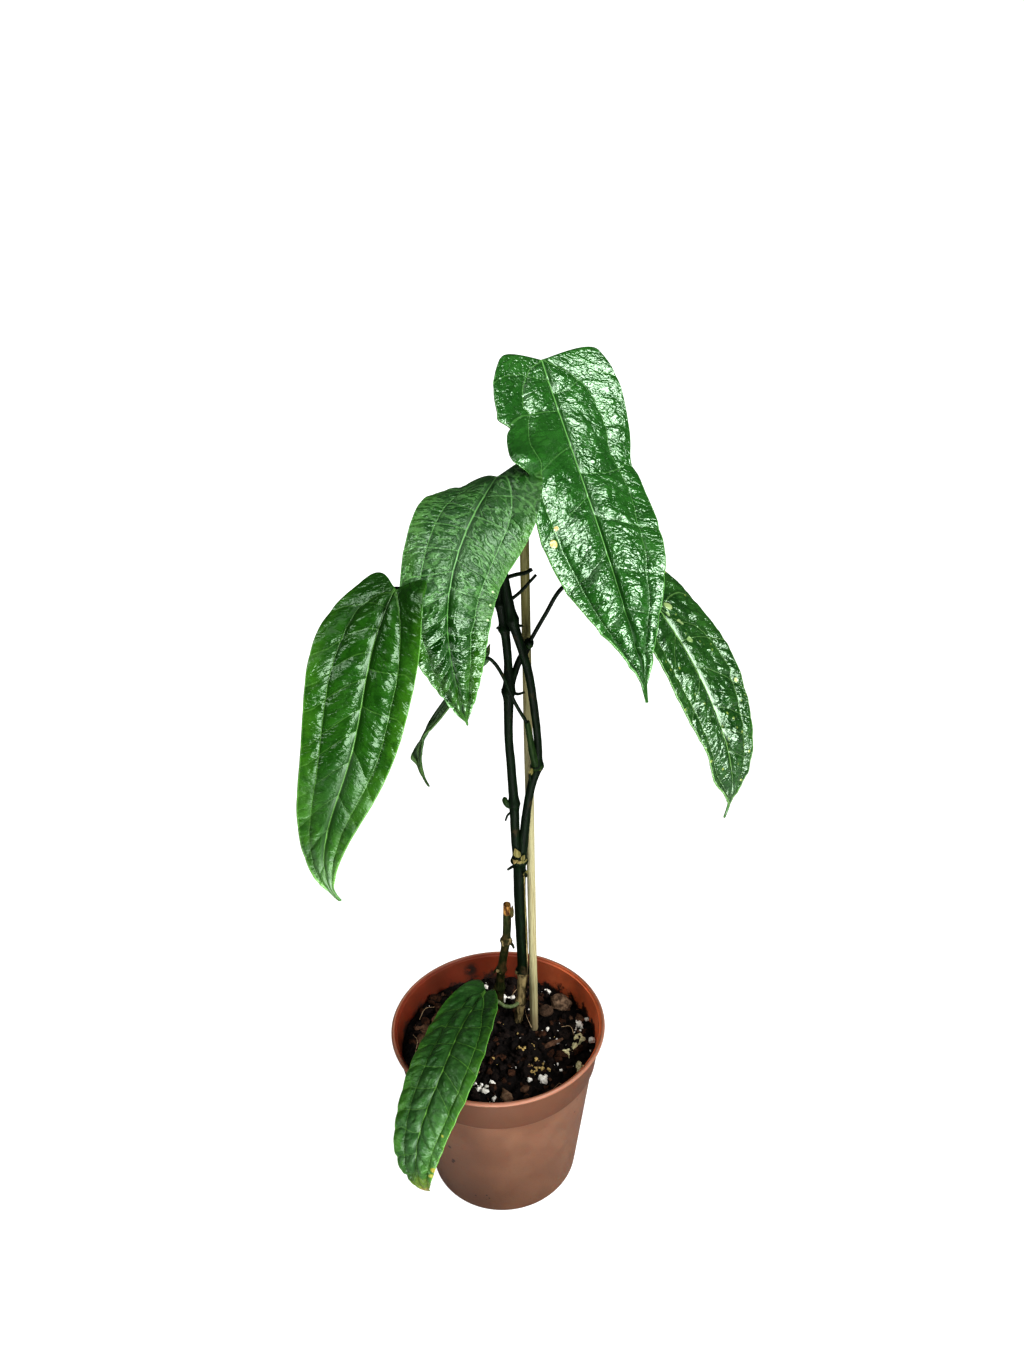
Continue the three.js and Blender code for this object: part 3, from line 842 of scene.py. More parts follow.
@dataclass(frozen=True)
class Nudge:
    """A local push of a blade: place, how far it spreads, and the push in millimetres."""

    s: float
    t: float
    span: tuple[float, float]
    push: Point

    def moved(self, s: Array, t: Array) -> Array:
        """Returns how far each point of the blade moves."""
        weight = bell(s - self.s, self.span[0]) * bell(t - self.t, self.span[1])
        return weight[:, None] * np.array(self.push)


@dataclass(frozen=True)
class HalfVeins:
    """Veins of one half of a blade.

    ring is the vein that runs from the base along the half, as pairs of a station and a share of the half
    width. ribs are side veins, as pairs of stations where they leave the midrib and where they meet the ring.
    """

    ring: tuple[tuple[float, float], ...]
    ribs: tuple[tuple[float, float], ...]

    def ring_at(self, s: Array) -> Array:
        """Where the ring vein runs at stations, as a share of the half width."""
        stations, shares = zip((-0.02, 0.0), *self.ring, (1.0, 0.8))
        return np.interp(s, stations, shares)

    def count(self, s: Array, inward: Array) -> tuple[Array, Array]:
        """Numbers the side veins passed by stations, so that each one lies on a whole number.

        Args:
            s: stations.
            inward: 0 at the midrib to 1 at the ring vein.

        Returns:
            The running number and the spacing of the veins, as a share of the blade's length.
        """
        pairs = np.array([(-0.08, -0.1), *self.ribs, (1.02, 1.03)])
        where = pairs[:, :1] + (pairs[:, 1:] - pairs[:, :1]) * np.clip(inward, 0, 1.3) ** 1.4
        index = np.clip((where <= s).sum(axis=0) - 1, 0, len(pairs) - 2)
        column = np.arange(len(s))
        low, high = where[index, column], where[index + 1, column]
        return index + (s - low) / (high - low), high - low


@dataclass
class Leaf:
    """One leaf: a quilted blade on its petiole.

    Angles are in degrees, at even stations from the sinus to the tip: heading turns about Z from +X,
    pitch is the midrib's dip, roll tips the blade about the midrib, and arch bends each half down.
    shoulders are the half widths at the base as shares of the full ones, and lobes how far the base
    reaches back, each on the right and on the left. bulge is the height of the swellings and pucker that
    of the random creases, towards the base and towards the tip. ruffle is the height, number and phase
    of the margin's waves. tail is the station where the drawn-out tip begins, its width and its taper.
    """

    name: str
    sinus: Point
    length: float
    right: float
    left: float
    belly: float
    shoulders: tuple[float, float]
    heading: tuple[float, ...]
    pitch: tuple[float, ...]
    roll: tuple[float, ...]
    arch: tuple[float, ...]
    lobes: tuple[float, float]
    bulge: tuple[float, float]
    ruffle: Point
    petiole: tuple[Point, ...]
    radius: float
    left_veins: HalfVeins
    right_veins: HalfVeins
    finish: LeafFinish
    slot: str
    dents: tuple[Dent, ...] = ()
    nudges: tuple[Nudge, ...] = ()
    rib_dip: float = 0.6
    tail: Point = (0.94, 0.5, 1.6)
    pucker: tuple[float, float] = (0.35, 0.35)
    seed: float = 0.0

    THICKNESS = 0.7
    VEIN_SWEEP = 0.1
    RIB_DEPTH = 0.9
    RIB_SPREAD = 0.14
    GROOVE_DEPTH = 0.35
    GROOVES = ((1.0, 1.1), (0.6, 0.9), (0.45, 0.8))
    FLAT_ENDS = (0.06, 0.15)
    CELL_EDGE = 2.6
    SWELLING = 2.0
    LEFT_PHASE = 0.37
    PUCKER_SIZES = (7.0, 3.2)
    PUCKER_SLANT = ((0.906, 0.23, 0), (-0.423, 0.5, 0), (0, 0, 1))
    TIPWARDS = (0.25, 0.65)
    BACK_BEND = 30.0
    MIDRIB_STEPS = 240
    SHOULDER_POWER = 14
    BASE_POWER = 7
    LAST_TAPER = (1.6, 0.94, 0.44)
    HALVES_APART = 12
    LEAVES_APART = 500
    GRID = (92, 230)

    def __post_init__(self) -> None:
        """Works out the midrib once."""
        start = -1.6 * max(self.lobes) / self.length - 0.02
        u = np.linspace(start, 1, self.MIDRIB_STEPS)
        heading = np.radians(along(self.heading, u))
        pitch = np.radians(along(self.pitch, u) - self.BACK_BEND * np.clip(u / start, 0, 1))
        roll = np.radians(along(self.roll, u))[:, None]
        level = np.cos(pitch)
        tangent = np.stack([level * np.cos(heading), level * np.sin(heading), -np.sin(pitch)], axis=1)
        across = np.stack([-np.sin(heading), np.cos(heading), 0 * heading], axis=1)
        up = np.cross(tangent, across)
        hop = (tangent[1:] + tangent[:-1]) / 2 * self.length * (u[1] - u[0])
        line = np.vstack([np.zeros(3), np.cumsum(hop, axis=0)])
        self.stations = u
        self.side_way = np.cos(roll) * across + np.sin(roll) * up
        self.up_way = np.cos(roll) * up - np.sin(roll) * across
        self.line = line - self.read(line, np.array([0])) + np.array(self.sinus)

    def read(self, table: Array, u: Array) -> Array:
        """Reads rows of the midrib at stations."""
        return np.stack([np.interp(u, self.stations, table[:, k]) for k in range(3)], axis=1)

    def half_width(self, right: Array, u: Array) -> Array:
        """Half width of the blade.

        Args:
            right: true on the blade's right.
            u: stations.

        Returns:
            The width in millimetres.
        """
        start, narrowest, taper = self.tail
        v = np.clip(u / start, 0, 1)
        full = np.where(right, self.right, self.left)
        narrow = 1 - np.where(right, *self.shoulders)
        width = full * (1 - narrow * (1 - v) ** self.SHOULDER_POWER) * np.maximum(1 - v**self.belly, 0) ** 1.05
        slope, end, reach = self.LAST_TAPER
        width = width + narrowest + taper * np.minimum(1 - u, 0.06) + slope * np.clip(end - u, 0, reach)
        for dent in self.dents:
            hit = right if dent.side > 0 else ~right
            width = width - hit * dent.depth * bell(u - dent.at, dent.span)
        return width

    def veins(self, s: Array, a: Array, right: Array, full: Array) -> tuple[Array, ...]:
        """Places of the veins.

        Args:
            s: station of the row.
            a: distance from the midrib as a share of the half width.
            right: true on the blade's right.
            full: half width in millimetres.

        Returns:
            Where the ring vein runs as a share of the half width, the distance from it (negative inside it),
            the number of side veins passed, their spacing, and the distance from the nearest one.
        """
        halves = self.right_veins, self.left_veins
        ring = np.where(right, *(half.ring_at(s) for half in halves))
        ahead = np.where(right, *(half.ring_at(s + 0.01) for half in halves))
        slope = (ahead - ring) / 0.01 * full / self.length
        off_ring = (a - ring) * full / np.sqrt(1 + slope**2)
        ring = np.maximum(ring, 0.05)
        counts, spacings = zip(*(half.count(s, a / ring) for half in halves))
        count = np.where(right, *counts)
        spacing = np.where(right, *spacings) * self.length
        return ring, off_ring, count, spacing, np.abs(count - np.round(count)) * spacing

    def relief(self, s: Array, a: Array, right: Array, laid: Array, veins: tuple[Array, ...]) -> Array:
        """Height of the swellings between veins, grooves, waves and puckers over the smooth blade.

        Args:
            s: station of the row.
            a: distance from the midrib as a share of the half width.
            right: true on the blade's right.
            laid: rows of the blade laid flat, which the random puckers read.
            veins: the places of the veins.

        Returns:
            Height in millimetres.
        """
        ring, off_ring, _, _, off_rib = veins
        y = laid[:, 1]
        fade = np.clip(s / self.FLAT_ENDS[0], 0, 1) * np.clip((1 - s) / self.FLAT_ENDS[1], 0, 1)
        inner = np.sin(np.pi * np.clip(a / ring, 0, 1)) ** 0.8
        outer = 0.7 * np.sin(np.pi * np.clip((a - ring) / (1.2 - ring), 0, 1)) ** 0.8
        dome = np.where(a < ring, inner, outer) * (1 - self.rib_dip * bell(off_rib, self.CELL_EDGE))
        groove = sum(share * bell(far, width) for (share, width), far in zip(self.GROOVES, (y, off_ring, off_rib)))
        height, cycles, phase = self.ruffle
        wave = height * np.sin(2 * np.pi * (cycles * s + phase + np.where(right, 0, self.LEFT_PHASE))) * a * a
        calm = np.clip((y - 1) / 3, 0, 1) ** 2 * (0.45 + 0.55 * dome) * (1 - 0.65 * np.clip((a - 0.8) / 0.2, 0, 1))
        slanted = laid @ np.array(self.PUCKER_SLANT)
        large, small = (rough(slanted, size, 2, self.seed + size) for size in self.PUCKER_SIZES)
        creased = 1.3 * (np.abs(large) - 0.25) + 0.5 * large + 0.55 * (np.abs(small) - 0.2)
        tipwards = ease(*self.TIPWARDS, s)
        pucker, bulge = (base + (tip - base) * tipwards for base, tip in (self.pucker, self.bulge))
        return (self.SWELLING * bulge * dome - self.GROOVE_DEPTH * groove + wave + pucker * creased * calm) * fade

    def surface(self, s: Array, t: Array) -> tuple[Array, dict[str, Array]]:
        """Points of the blade's middle surface.

        Args:
            s: from the base row to the tip.
            t: from the left margin (-1) to the right one (1).

        Returns:
            Points in millimetres, and the attributes that the finish reads.
        """
        a = np.abs(t)
        right = t > 0
        side = np.where(right, 1, -1)
        base = (1 - s) ** self.BASE_POWER
        sweep = self.VEIN_SWEEP * 4 * s * (1 - s)
        station = s + sweep * a
        x = self.length * station - np.where(right, *self.lobes) * np.sin(np.pi * a) * base
        full = self.half_width(right, s + sweep)
        y = full * ((1 - base) * a + base * np.sin(np.pi * a / 2))
        bend = np.radians(along(self.arch, station)) / max(self.right, self.left)
        bend = np.where(np.abs(bend) < 1e-6, 1e-6, bend)
        apart = self.LEAVES_APART * self.seed + self.HALVES_APART * np.tanh(side * y / 1.5)
        laid = np.stack([x, y, apart], axis=1)
        veins = self.veins(s, a, right, full)
        _, off_ring, count, spacing, _ = veins
        rise = (np.cos(bend * y) - 1) / bend + self.relief(s, a, right, laid, veins)
        u = x / self.length
        points = self.read(self.line, u)
        points += self.read(self.side_way, u) * (side * np.sin(bend * y) / bend)[:, None]
        points += self.read(self.up_way, u) * rise[:, None]
        points += sum(nudge.moved(s, t) for nudge in self.nudges)
        marks = {
            "veins": np.stack([side * y, count, off_ring], axis=1),
            "zones": np.stack([(1 - a) * full, s, spacing], axis=1),
            "laid": laid * MM,
        }
        return points, marks

    def blade(self) -> Object:
        """Makes the blade from a flat grid, and gives it its thickness and its rib underneath.

        Returns:
            The mesh object.
        """
        deselect()
        columns, rows = self.GRID
        bpy.ops.mesh.primitive_grid_add(x_subdivisions=columns, y_subdivisions=rows, size=1)
        item = bpy.context.object
        flat = read_points(item)
        s = np.clip(flat[:, 1] + 0.5, 0, 1)
        t = -2 * flat[:, 0]
        points, marks = self.surface(s, t)
        write_points(item, points * MM)
        for name, values in marks.items():
            write_attribute(item, name, values)
        count = len(points)
        apply_modifier(item, "SOLIDIFY", thickness=self.THICKNESS * MM, offset=0.0, use_even_offset=False)
        under = np.arange(len(item.data.vertices)) >= count
        write_attribute(item, "under", under.astype(float))
        rib = self.RIB_DEPTH * np.maximum(0, 1 - (np.abs(t) / self.RIB_SPREAD)) * (1 - 0.6 * s)
        moved = read_points(item)
        moved[count:] += read_normals(item)[count:] * rib[:, None] * MM
        write_points(item, moved)
        return item

    def stalk(self) -> Object:
        """Makes the petiole, from the stem to under the blade's base.

        Returns:
            The mesh object.
        """
        path = list(self.petiole)
        for u, depth in ((0.004, self.radius), (0.06, 0.8 * self.radius)):
            station = np.array([u])
            path.append(self.read(self.line, station)[0] - depth * self.read(self.up_way, station)[0])
        rows = [(*p, self.radius * (1 if i < len(path) - 2 else 0.85)) for i, p in enumerate(path)]
        return tube("petiole", route(rows, 1.2), 14)

    def build(self, stalk_material: Material) -> None:
        """Makes and dresses the blade and its petiole."""
        place(self.name + "_blade", [self.blade()], ROUND, self.slot, self.finish.make(), self.name)
        place(self.name + "_petiole", [self.stalk()], ROUND, "green_stem", stalk_material, self.name)


GLOSSY = LeafFinish(
    "glossy leaf", (0.0075, 0.05, 0.005), (0.0175, 0.084, 0.011), (0.14, 0.34, 0.09), (0.18, 0.13), 0.25,
    rib_show=0.3, shine=0.9,
    spots=((76.3, -21.5, 0.9, (0.35, 0.26, 0.09)), (82.9, -24.7, 1.4, (0.5, 0.38, 0.14))),
)
WRINKLED = LeafFinish(
    "wrinkled leaf", (0.004, 0.032, 0.003), (0.011, 0.056, 0.005), (0.13, 0.32, 0.09), (0.42, 0.12), 0.32,
    edge_light=0.25, tip_net=0.3, ridge_highlight=0.28, shine=0.6,
    spots=tuple((x, y, r, (0.35, 0.5, 0.25)) for x, y, r in ((55.8, 19, 0.5), (64.4, 18.2, 0.45), (73.1, 16.9, 0.4))),
)
SMOOTH_GREEN = LeafFinish(
    "smooth leaf", (0.0075, 0.046, 0.003), (0.015, 0.067, 0.005), (0.14, 0.32, 0.07), (0.2, 0.42), 0.13,
    under=(0.05, 0.16, 0.03), rib_show=0.3, edge_light=0.25, shine=0.38,
)
MOTTLED = LeafFinish(
    "mottled leaf", (0.0035, 0.028, 0.003), (0.018, 0.07, 0.01), (0.17, 0.33, 0.1), (0.18, 0.16), 0.23,
    rib_show=0.4, speckle=0.5, shine=0.8,
    spots=(
        (0.4, 7, 1.6, (0.2, 0.27, 0.1)), (10.9, 6.5, 1.6, (0.22, 0.3, 0.12)), (14, 3, 1.2, (0.16, 0.25, 0.1)),
        (20.1, 7.4, 1.3, (0.2, 0.28, 0.12)), (29, 6.2, 1.2, (0.16, 0.25, 0.09)), (56.5, 22, 0.9, (0.3, 0.36, 0.14)),
    ),
)
MATT = LeafFinish(
    "matt leaf", (0.013, 0.056, 0.009), (0.027, 0.078, 0.018), (0.13, 0.3, 0.05), (0.34, 0.34), 0.12,
    edge_light=0.3, tip_yellow=0.9, shine=0.3,
    spots=(
        (113.4, 10.3, 1.2, (0.2, 0.18, 0.02)), (118, 8.6, 1, (0.16, 0.17, 0.02)), (91.9, 12.4, 0.5, (0.2, 0.22, 0.03)),
        (138, 1, 3.2, (0.2, 0.17, 0.03)), (127, 4, 4, (0.07, 0.12, 0.015)),
    ),
)
DARK = LeafFinish(
    "curled leaf", (0.006, 0.018, 0.004), (0.018, 0.045, 0.01), (0.08, 0.16, 0.04), (0.4, 0.4), 0.15,
    under=(0.02, 0.05, 0.015), shine=0.3,
)

LEAVES = (
    Leaf(
        "leaf_top", (33.2, 27, 455.2), 159, 37, 35, 2.8, (0.8, 0.6), (-56, -59, -64, -59), (60, 57, 56, 71),
        (-1, -11, 3, -14), (-11, 6, 21), (3, 4), (0.9, 1.3), (0.9, 2.3, 0.1),
        ((9.6, 7.6, 360), (15, 10, 385), (27, 17, 425), (32.2, 24, 446.5)), 1.2,
        HalfVeins(
            ((0.008, 0.03), (0.032, 0.19), (0.079, 0.36), (0.127, 0.46), (0.171, 0.53), (0.21, 0.61), (0.25, 0.69),
             (0.31, 0.76), (0.36, 0.77), (0.42, 0.735), (0.48, 0.73), (0.556, 0.715), (0.627, 0.75), (0.69, 0.78)),
            ((0.06, 0.05), (0.15, 0.14), (0.255, 0.272), (0.405, 0.415), (0.575, 0.567), (0.735, 0.715), (0.84, 0.84)),
        ),
        HalfVeins(
            ((0.008, 0.03), (0.04, 0.19), (0.075, 0.36), (0.107, 0.47), (0.143, 0.54), (0.18, 0.6), (0.214, 0.62),
             (0.262, 0.667), (0.31, 0.72), (0.345, 0.74), (0.39, 0.72), (0.433, 0.68), (0.476, 0.69), (0.53, 0.695),
             (0.587, 0.675), (0.635, 0.72), (0.683, 0.74), (0.738, 0.7), (0.786, 0.68)),
            ((0.1, 0.07), (0.335, 0.28), (0.46, 0.445), (0.61, 0.583), (0.73, 0.7), (0.84, 0.82)),
        ),
        GLOSSY, "glossy_leaf",
        dents=(
            Dent(1, 0.31, 2.5, 0.04), Dent(-1, 0.185, 3, 0.03), Dent(-1, 0.34, 4, 0.035), Dent(-1, 0.28, -1, 0.03),
            Dent(-1, 0.162, -2.2, 0.016), Dent(-1, 0.187, 2.4, 0.012),
        ),
        nudges=(Nudge(0.205, -1, (0.045, 0.3), (-1, -6, 0)), Nudge(0.24, -0.75, (0.04, 0.38), (0, -11, 5))),
        tail=(0.95, 0.6, 9), pucker=(1.0, 0.85), seed=1,
    ),
    Leaf(
        "leaf_middle", (12, -19, 414), 125.5, 24, 22, 2.7, (0.64, 0.8), (-117, -115, -118, -113),
        (16, 43, 97, 112), (12, -42, -36, -16), (19, 25, 20), (9, 8), (0.5, 1.25), (0.6, 2.6, 0.4),
        ((12.6, 3, 366), (14, 0, 390), (14, -11, 408)), 1.1,
        HalfVeins(
            ((0.012, 0.04), (0.048, 0.22), (0.095, 0.375), (0.143, 0.44), (0.19, 0.5), (0.24, 0.54), (0.3, 0.58),
             (0.373, 0.61), (0.444, 0.64), (0.516, 0.67), (0.571, 0.68), (0.62, 0.67), (0.675, 0.74)),
            ((0.1, 0.1), (0.18, 0.17), (0.26, 0.25), (0.34, 0.32), (0.41, 0.39), (0.48, 0.47), (0.547, 0.54),
             (0.603, 0.587), (0.663, 0.675), (0.718, 0.738), (0.77, 0.79), (0.85, 0.86)),
        ),
        HalfVeins(
            ((0.016, 0.04), (0.048, 0.19), (0.087, 0.33), (0.131, 0.47), (0.171, 0.54), (0.238, 0.6), (0.317, 0.64),
             (0.397, 0.63), (0.468, 0.62), (0.51, 0.64), (0.567, 0.58), (0.603, 0.6), (0.65, 0.62), (0.79, 0.64)),
            ((0.11, 0.1), (0.2, 0.18), (0.28, 0.26), (0.37, 0.34), (0.46, 0.42), (0.555, 0.5), (0.611, 0.567),
             (0.667, 0.62), (0.714, 0.68), (0.762, 0.73), (0.81, 0.79), (0.88, 0.87)),
        ),
        WRINKLED, "glossy_leaf",
        nudges=(
            Nudge(0, 0.42, (0.06, 0.3), (1, 6, 3.5)), Nudge(0, 0.9, (0.1, 0.25), (2.4, 1, 2.5)),
            Nudge(0, 0.75, (0.05, 0.35), (0, 6, -2.8)),
        ),
        tail=(0.985, 0.2, 1), rib_dip=0.6, pucker=(0.9, 1.1), seed=2,
    ),
    Leaf(
        "leaf_left", (-28.9, -69, 383.7), 129.5, 17, 21.4, 2.8, (0.72, 0.72), (-126, -114, -123, -136),
        (41, 61, 53, 123), (3, -27, -31, -25), (-3, 4, 13), (7, 7), (0.9, 0.35), (0.7, 3.1, 0.2),
        ((12.8, 3.6, 362), (0, -9, 370), (-16, -37, 376), (-26, -54, 379), (-30.2, -62, 381.8)), 1.1,
        HalfVeins(
            ((0.017, 0.04), (0.051, 0.25), (0.094, 0.43), (0.146, 0.49), (0.206, 0.55), (0.274, 0.61), (0.343, 0.64),
             (0.403, 0.655), (0.463, 0.655), (0.531, 0.646), (0.634, 0.646), (0.711, 0.685)),
            ((0.06, 0.08), (0.13, 0.17), (0.2, 0.24), (0.28, 0.31), (0.37, 0.41), (0.435, 0.47), (0.53, 0.56),
             (0.63, 0.65), (0.73, 0.75), (0.84, 0.85)),
        ),
        HalfVeins(
            ((0.017, 0.05), (0.06, 0.2), (0.103, 0.35), (0.146, 0.47), (0.197, 0.56), (0.249, 0.61), (0.308, 0.61),
             (0.377, 0.635), (0.446, 0.66), (0.514, 0.65), (0.6, 0.635), (0.668, 0.62)),
            ((0.25, 0.22), (0.36, 0.33), (0.493, 0.515), (0.63, 0.62), (0.75, 0.74), (0.86, 0.85)),
        ),
        SMOOTH_GREEN, "glossy_leaf", tail=(0.94, 0.6, 13), rib_dip=0.45, pucker=(0.8, 0.5), seed=3,
    ),
    Leaf(
        "leaf_right", (78, 0, 354), 120, 29, 22, 2.9, (0.85, 0.85), (-37, -38, -42, -38), (43, 56, 70, 108),
        (1, 1, 8, 10), (6, -3, 6), (10, 8), (0.5, 0.5), (0.8, 2.4, 0.6),
        ((23.6, 11, 326.1), (31.7, 6, 342.6), (40.2, 3, 357.2), (57, 3, 366), (71, 3, 362.5)), 1.0,
        HalfVeins(
            ((0.02, 0.05), (0.06, 0.25), (0.11, 0.45), (0.17, 0.6), (0.22, 0.67), (0.274, 0.7), (0.343, 0.69),
             (0.411, 0.68), (0.48, 0.705), (0.531, 0.736), (0.6, 0.766)),
            ((0.08, 0.1), (0.2, 0.278), (0.386, 0.41), (0.515, 0.5), (0.63, 0.62), (0.75, 0.74), (0.86, 0.86)),
        ),
        HalfVeins(
            ((0.1, 0.03), (0.14, 0.12), (0.165, 0.2), (0.18, 0.36), (0.2, 0.51), (0.223, 0.64), (0.257, 0.72),
             (0.317, 0.78), (0.351, 0.8), (0.386, 0.76), (0.428, 0.75), (0.514, 0.73), (0.6, 0.7)),
            ((0.06, 0.08), (0.23, 0.24), (0.343, 0.394), (0.505, 0.52), (0.6, 0.6), (0.69, 0.69), (0.78, 0.78),
             (0.88, 0.87)),
        ),
        MOTTLED, "glossy_leaf", dents=(Dent(-1, 0.78, -3, 0.07),),
        tail=(0.94, 0.4, 3), rib_dip=0.4, pucker=(1.3, 1.1), seed=4,
    ),
    Leaf(
        "leaf_low", (-7, 13, 111), 144, 18, 19, 3.8, (0.25, 0.78), (-120, -105, -128, -119), (0, -1, 64, 125),
        (16, 11, -10, -14), (-12, 15, 19), (3, 12), (0.8, 0.9), (0.7, 2.8, 0),
        ((13.2, 18.2, 99.4), (8.6, 12.5, 100.7), (4.1, 11.5, 101.8), (-1.4, 12, 106.4)), 1.1,
        HalfVeins(
            ((0.026, 0.05), (0.06, 0.2), (0.129, 0.35), (0.189, 0.44), (0.257, 0.5), (0.36, 0.56), (0.446, 0.574),
             (0.514, 0.59), (0.634, 0.574)),
            ((0.1, 0.12), (0.22, 0.2), (0.31, 0.28), (0.42, 0.38), (0.5, 0.47), (0.57, 0.55), (0.66, 0.62),
             (0.74, 0.72), (0.83, 0.82)),
        ),
        HalfVeins(
            ((0.026, 0.04), (0.069, 0.22), (0.137, 0.4), (0.18, 0.55), (0.231, 0.64), (0.283, 0.67), (0.351, 0.67),
             (0.411, 0.7), (0.48, 0.7), (0.548, 0.715), (0.6, 0.69), (0.668, 0.67)),
            ((0.12, 0.1), (0.22, 0.19), (0.3, 0.28), (0.365, 0.35), (0.435, 0.425), (0.497, 0.49), (0.59, 0.6),
             (0.66, 0.66), (0.74, 0.74), (0.84, 0.84)),
        ),
        MATT, "dull_leaf", tail=(0.99, 0.5, 0), rib_dip=0.8, pucker=(1.3, 1.3), seed=5,
    ),
    Leaf(
        "leaf_curled", (3, 3, 324), 75, 4, 5, 2, (0.5, 0.5), (-158, -138, -116, -44), (36, 36, 35, 37),
        (56, 18, 34, 71), (48, 42, 40), (1.5, 1.5), (0.3, 0.3), (0.4, 2, 0),
        ((21.7, 5, 286.4), (15.9, 4, 298.7), (10.8, 3.6, 312.8), (6.8, 4, 320)), 0.9,
        HalfVeins(((0.05, 0.3), (0.2, 0.6)), ((0.3, 0.3), (0.5, 0.5), (0.7, 0.7))),
        HalfVeins(((0.05, 0.3), (0.2, 0.6)), ((0.3, 0.3), (0.5, 0.5), (0.7, 0.7))),
        DARK, "dark_leaf",
        nudges=(Nudge(0.7, -1, (0.05, 0.9), (-3.2, 0, 0)), Nudge(0.55, 1, (0.07, 0.9), (-1.8, 0, 0))),
        tail=(0.94, 0.3, 1), pucker=(0.2, 0.2), seed=6,
    ),
)


# Stems


@dataclass(frozen=True)
class Shoot:
    """A length of stem through rows of x, y, z and radius, in millimetres."""

    name: str
    rows: tuple[tuple[float, float, float, float], ...]

    SAMPLE = 0.8
    REACH = 2.5
    SWELL = ((1.0, 0.62), (0.35, 0.2))
    LUMPS = 0.16

    def build(self, rings: Sequence[Sequence[float]]) -> Object:
        """Makes the shoot, swollen at its rings.

        Args:
            rings: rows of x, y, z, radius and height of each swelling.

        Returns:
            The mesh object.
        """
        rows = route(self.rows, self.SAMPLE)
        for x, y, z, radius, height in rings:
            far = np.linalg.norm(rows[:, :3] - (x, y, z), axis=1)
            if far.min() < self.REACH:
                swell = sum(share * bell(far, width * height) for share, width in self.SWELL)
                rows[:, 3] = np.maximum(rows[:, 3], rows[:, 3] + (radius - rows[:, 3]) * swell)
        item = tube(self.name, rows, 20)
        points = read_points(item) / MM
        lumps = rough(points * (1, 1, 0.4), 4, 3, 11) * self.LUMPS
        write_points(item, (points + read_normals(item) * lumps[:, None]) * MM)
        return item


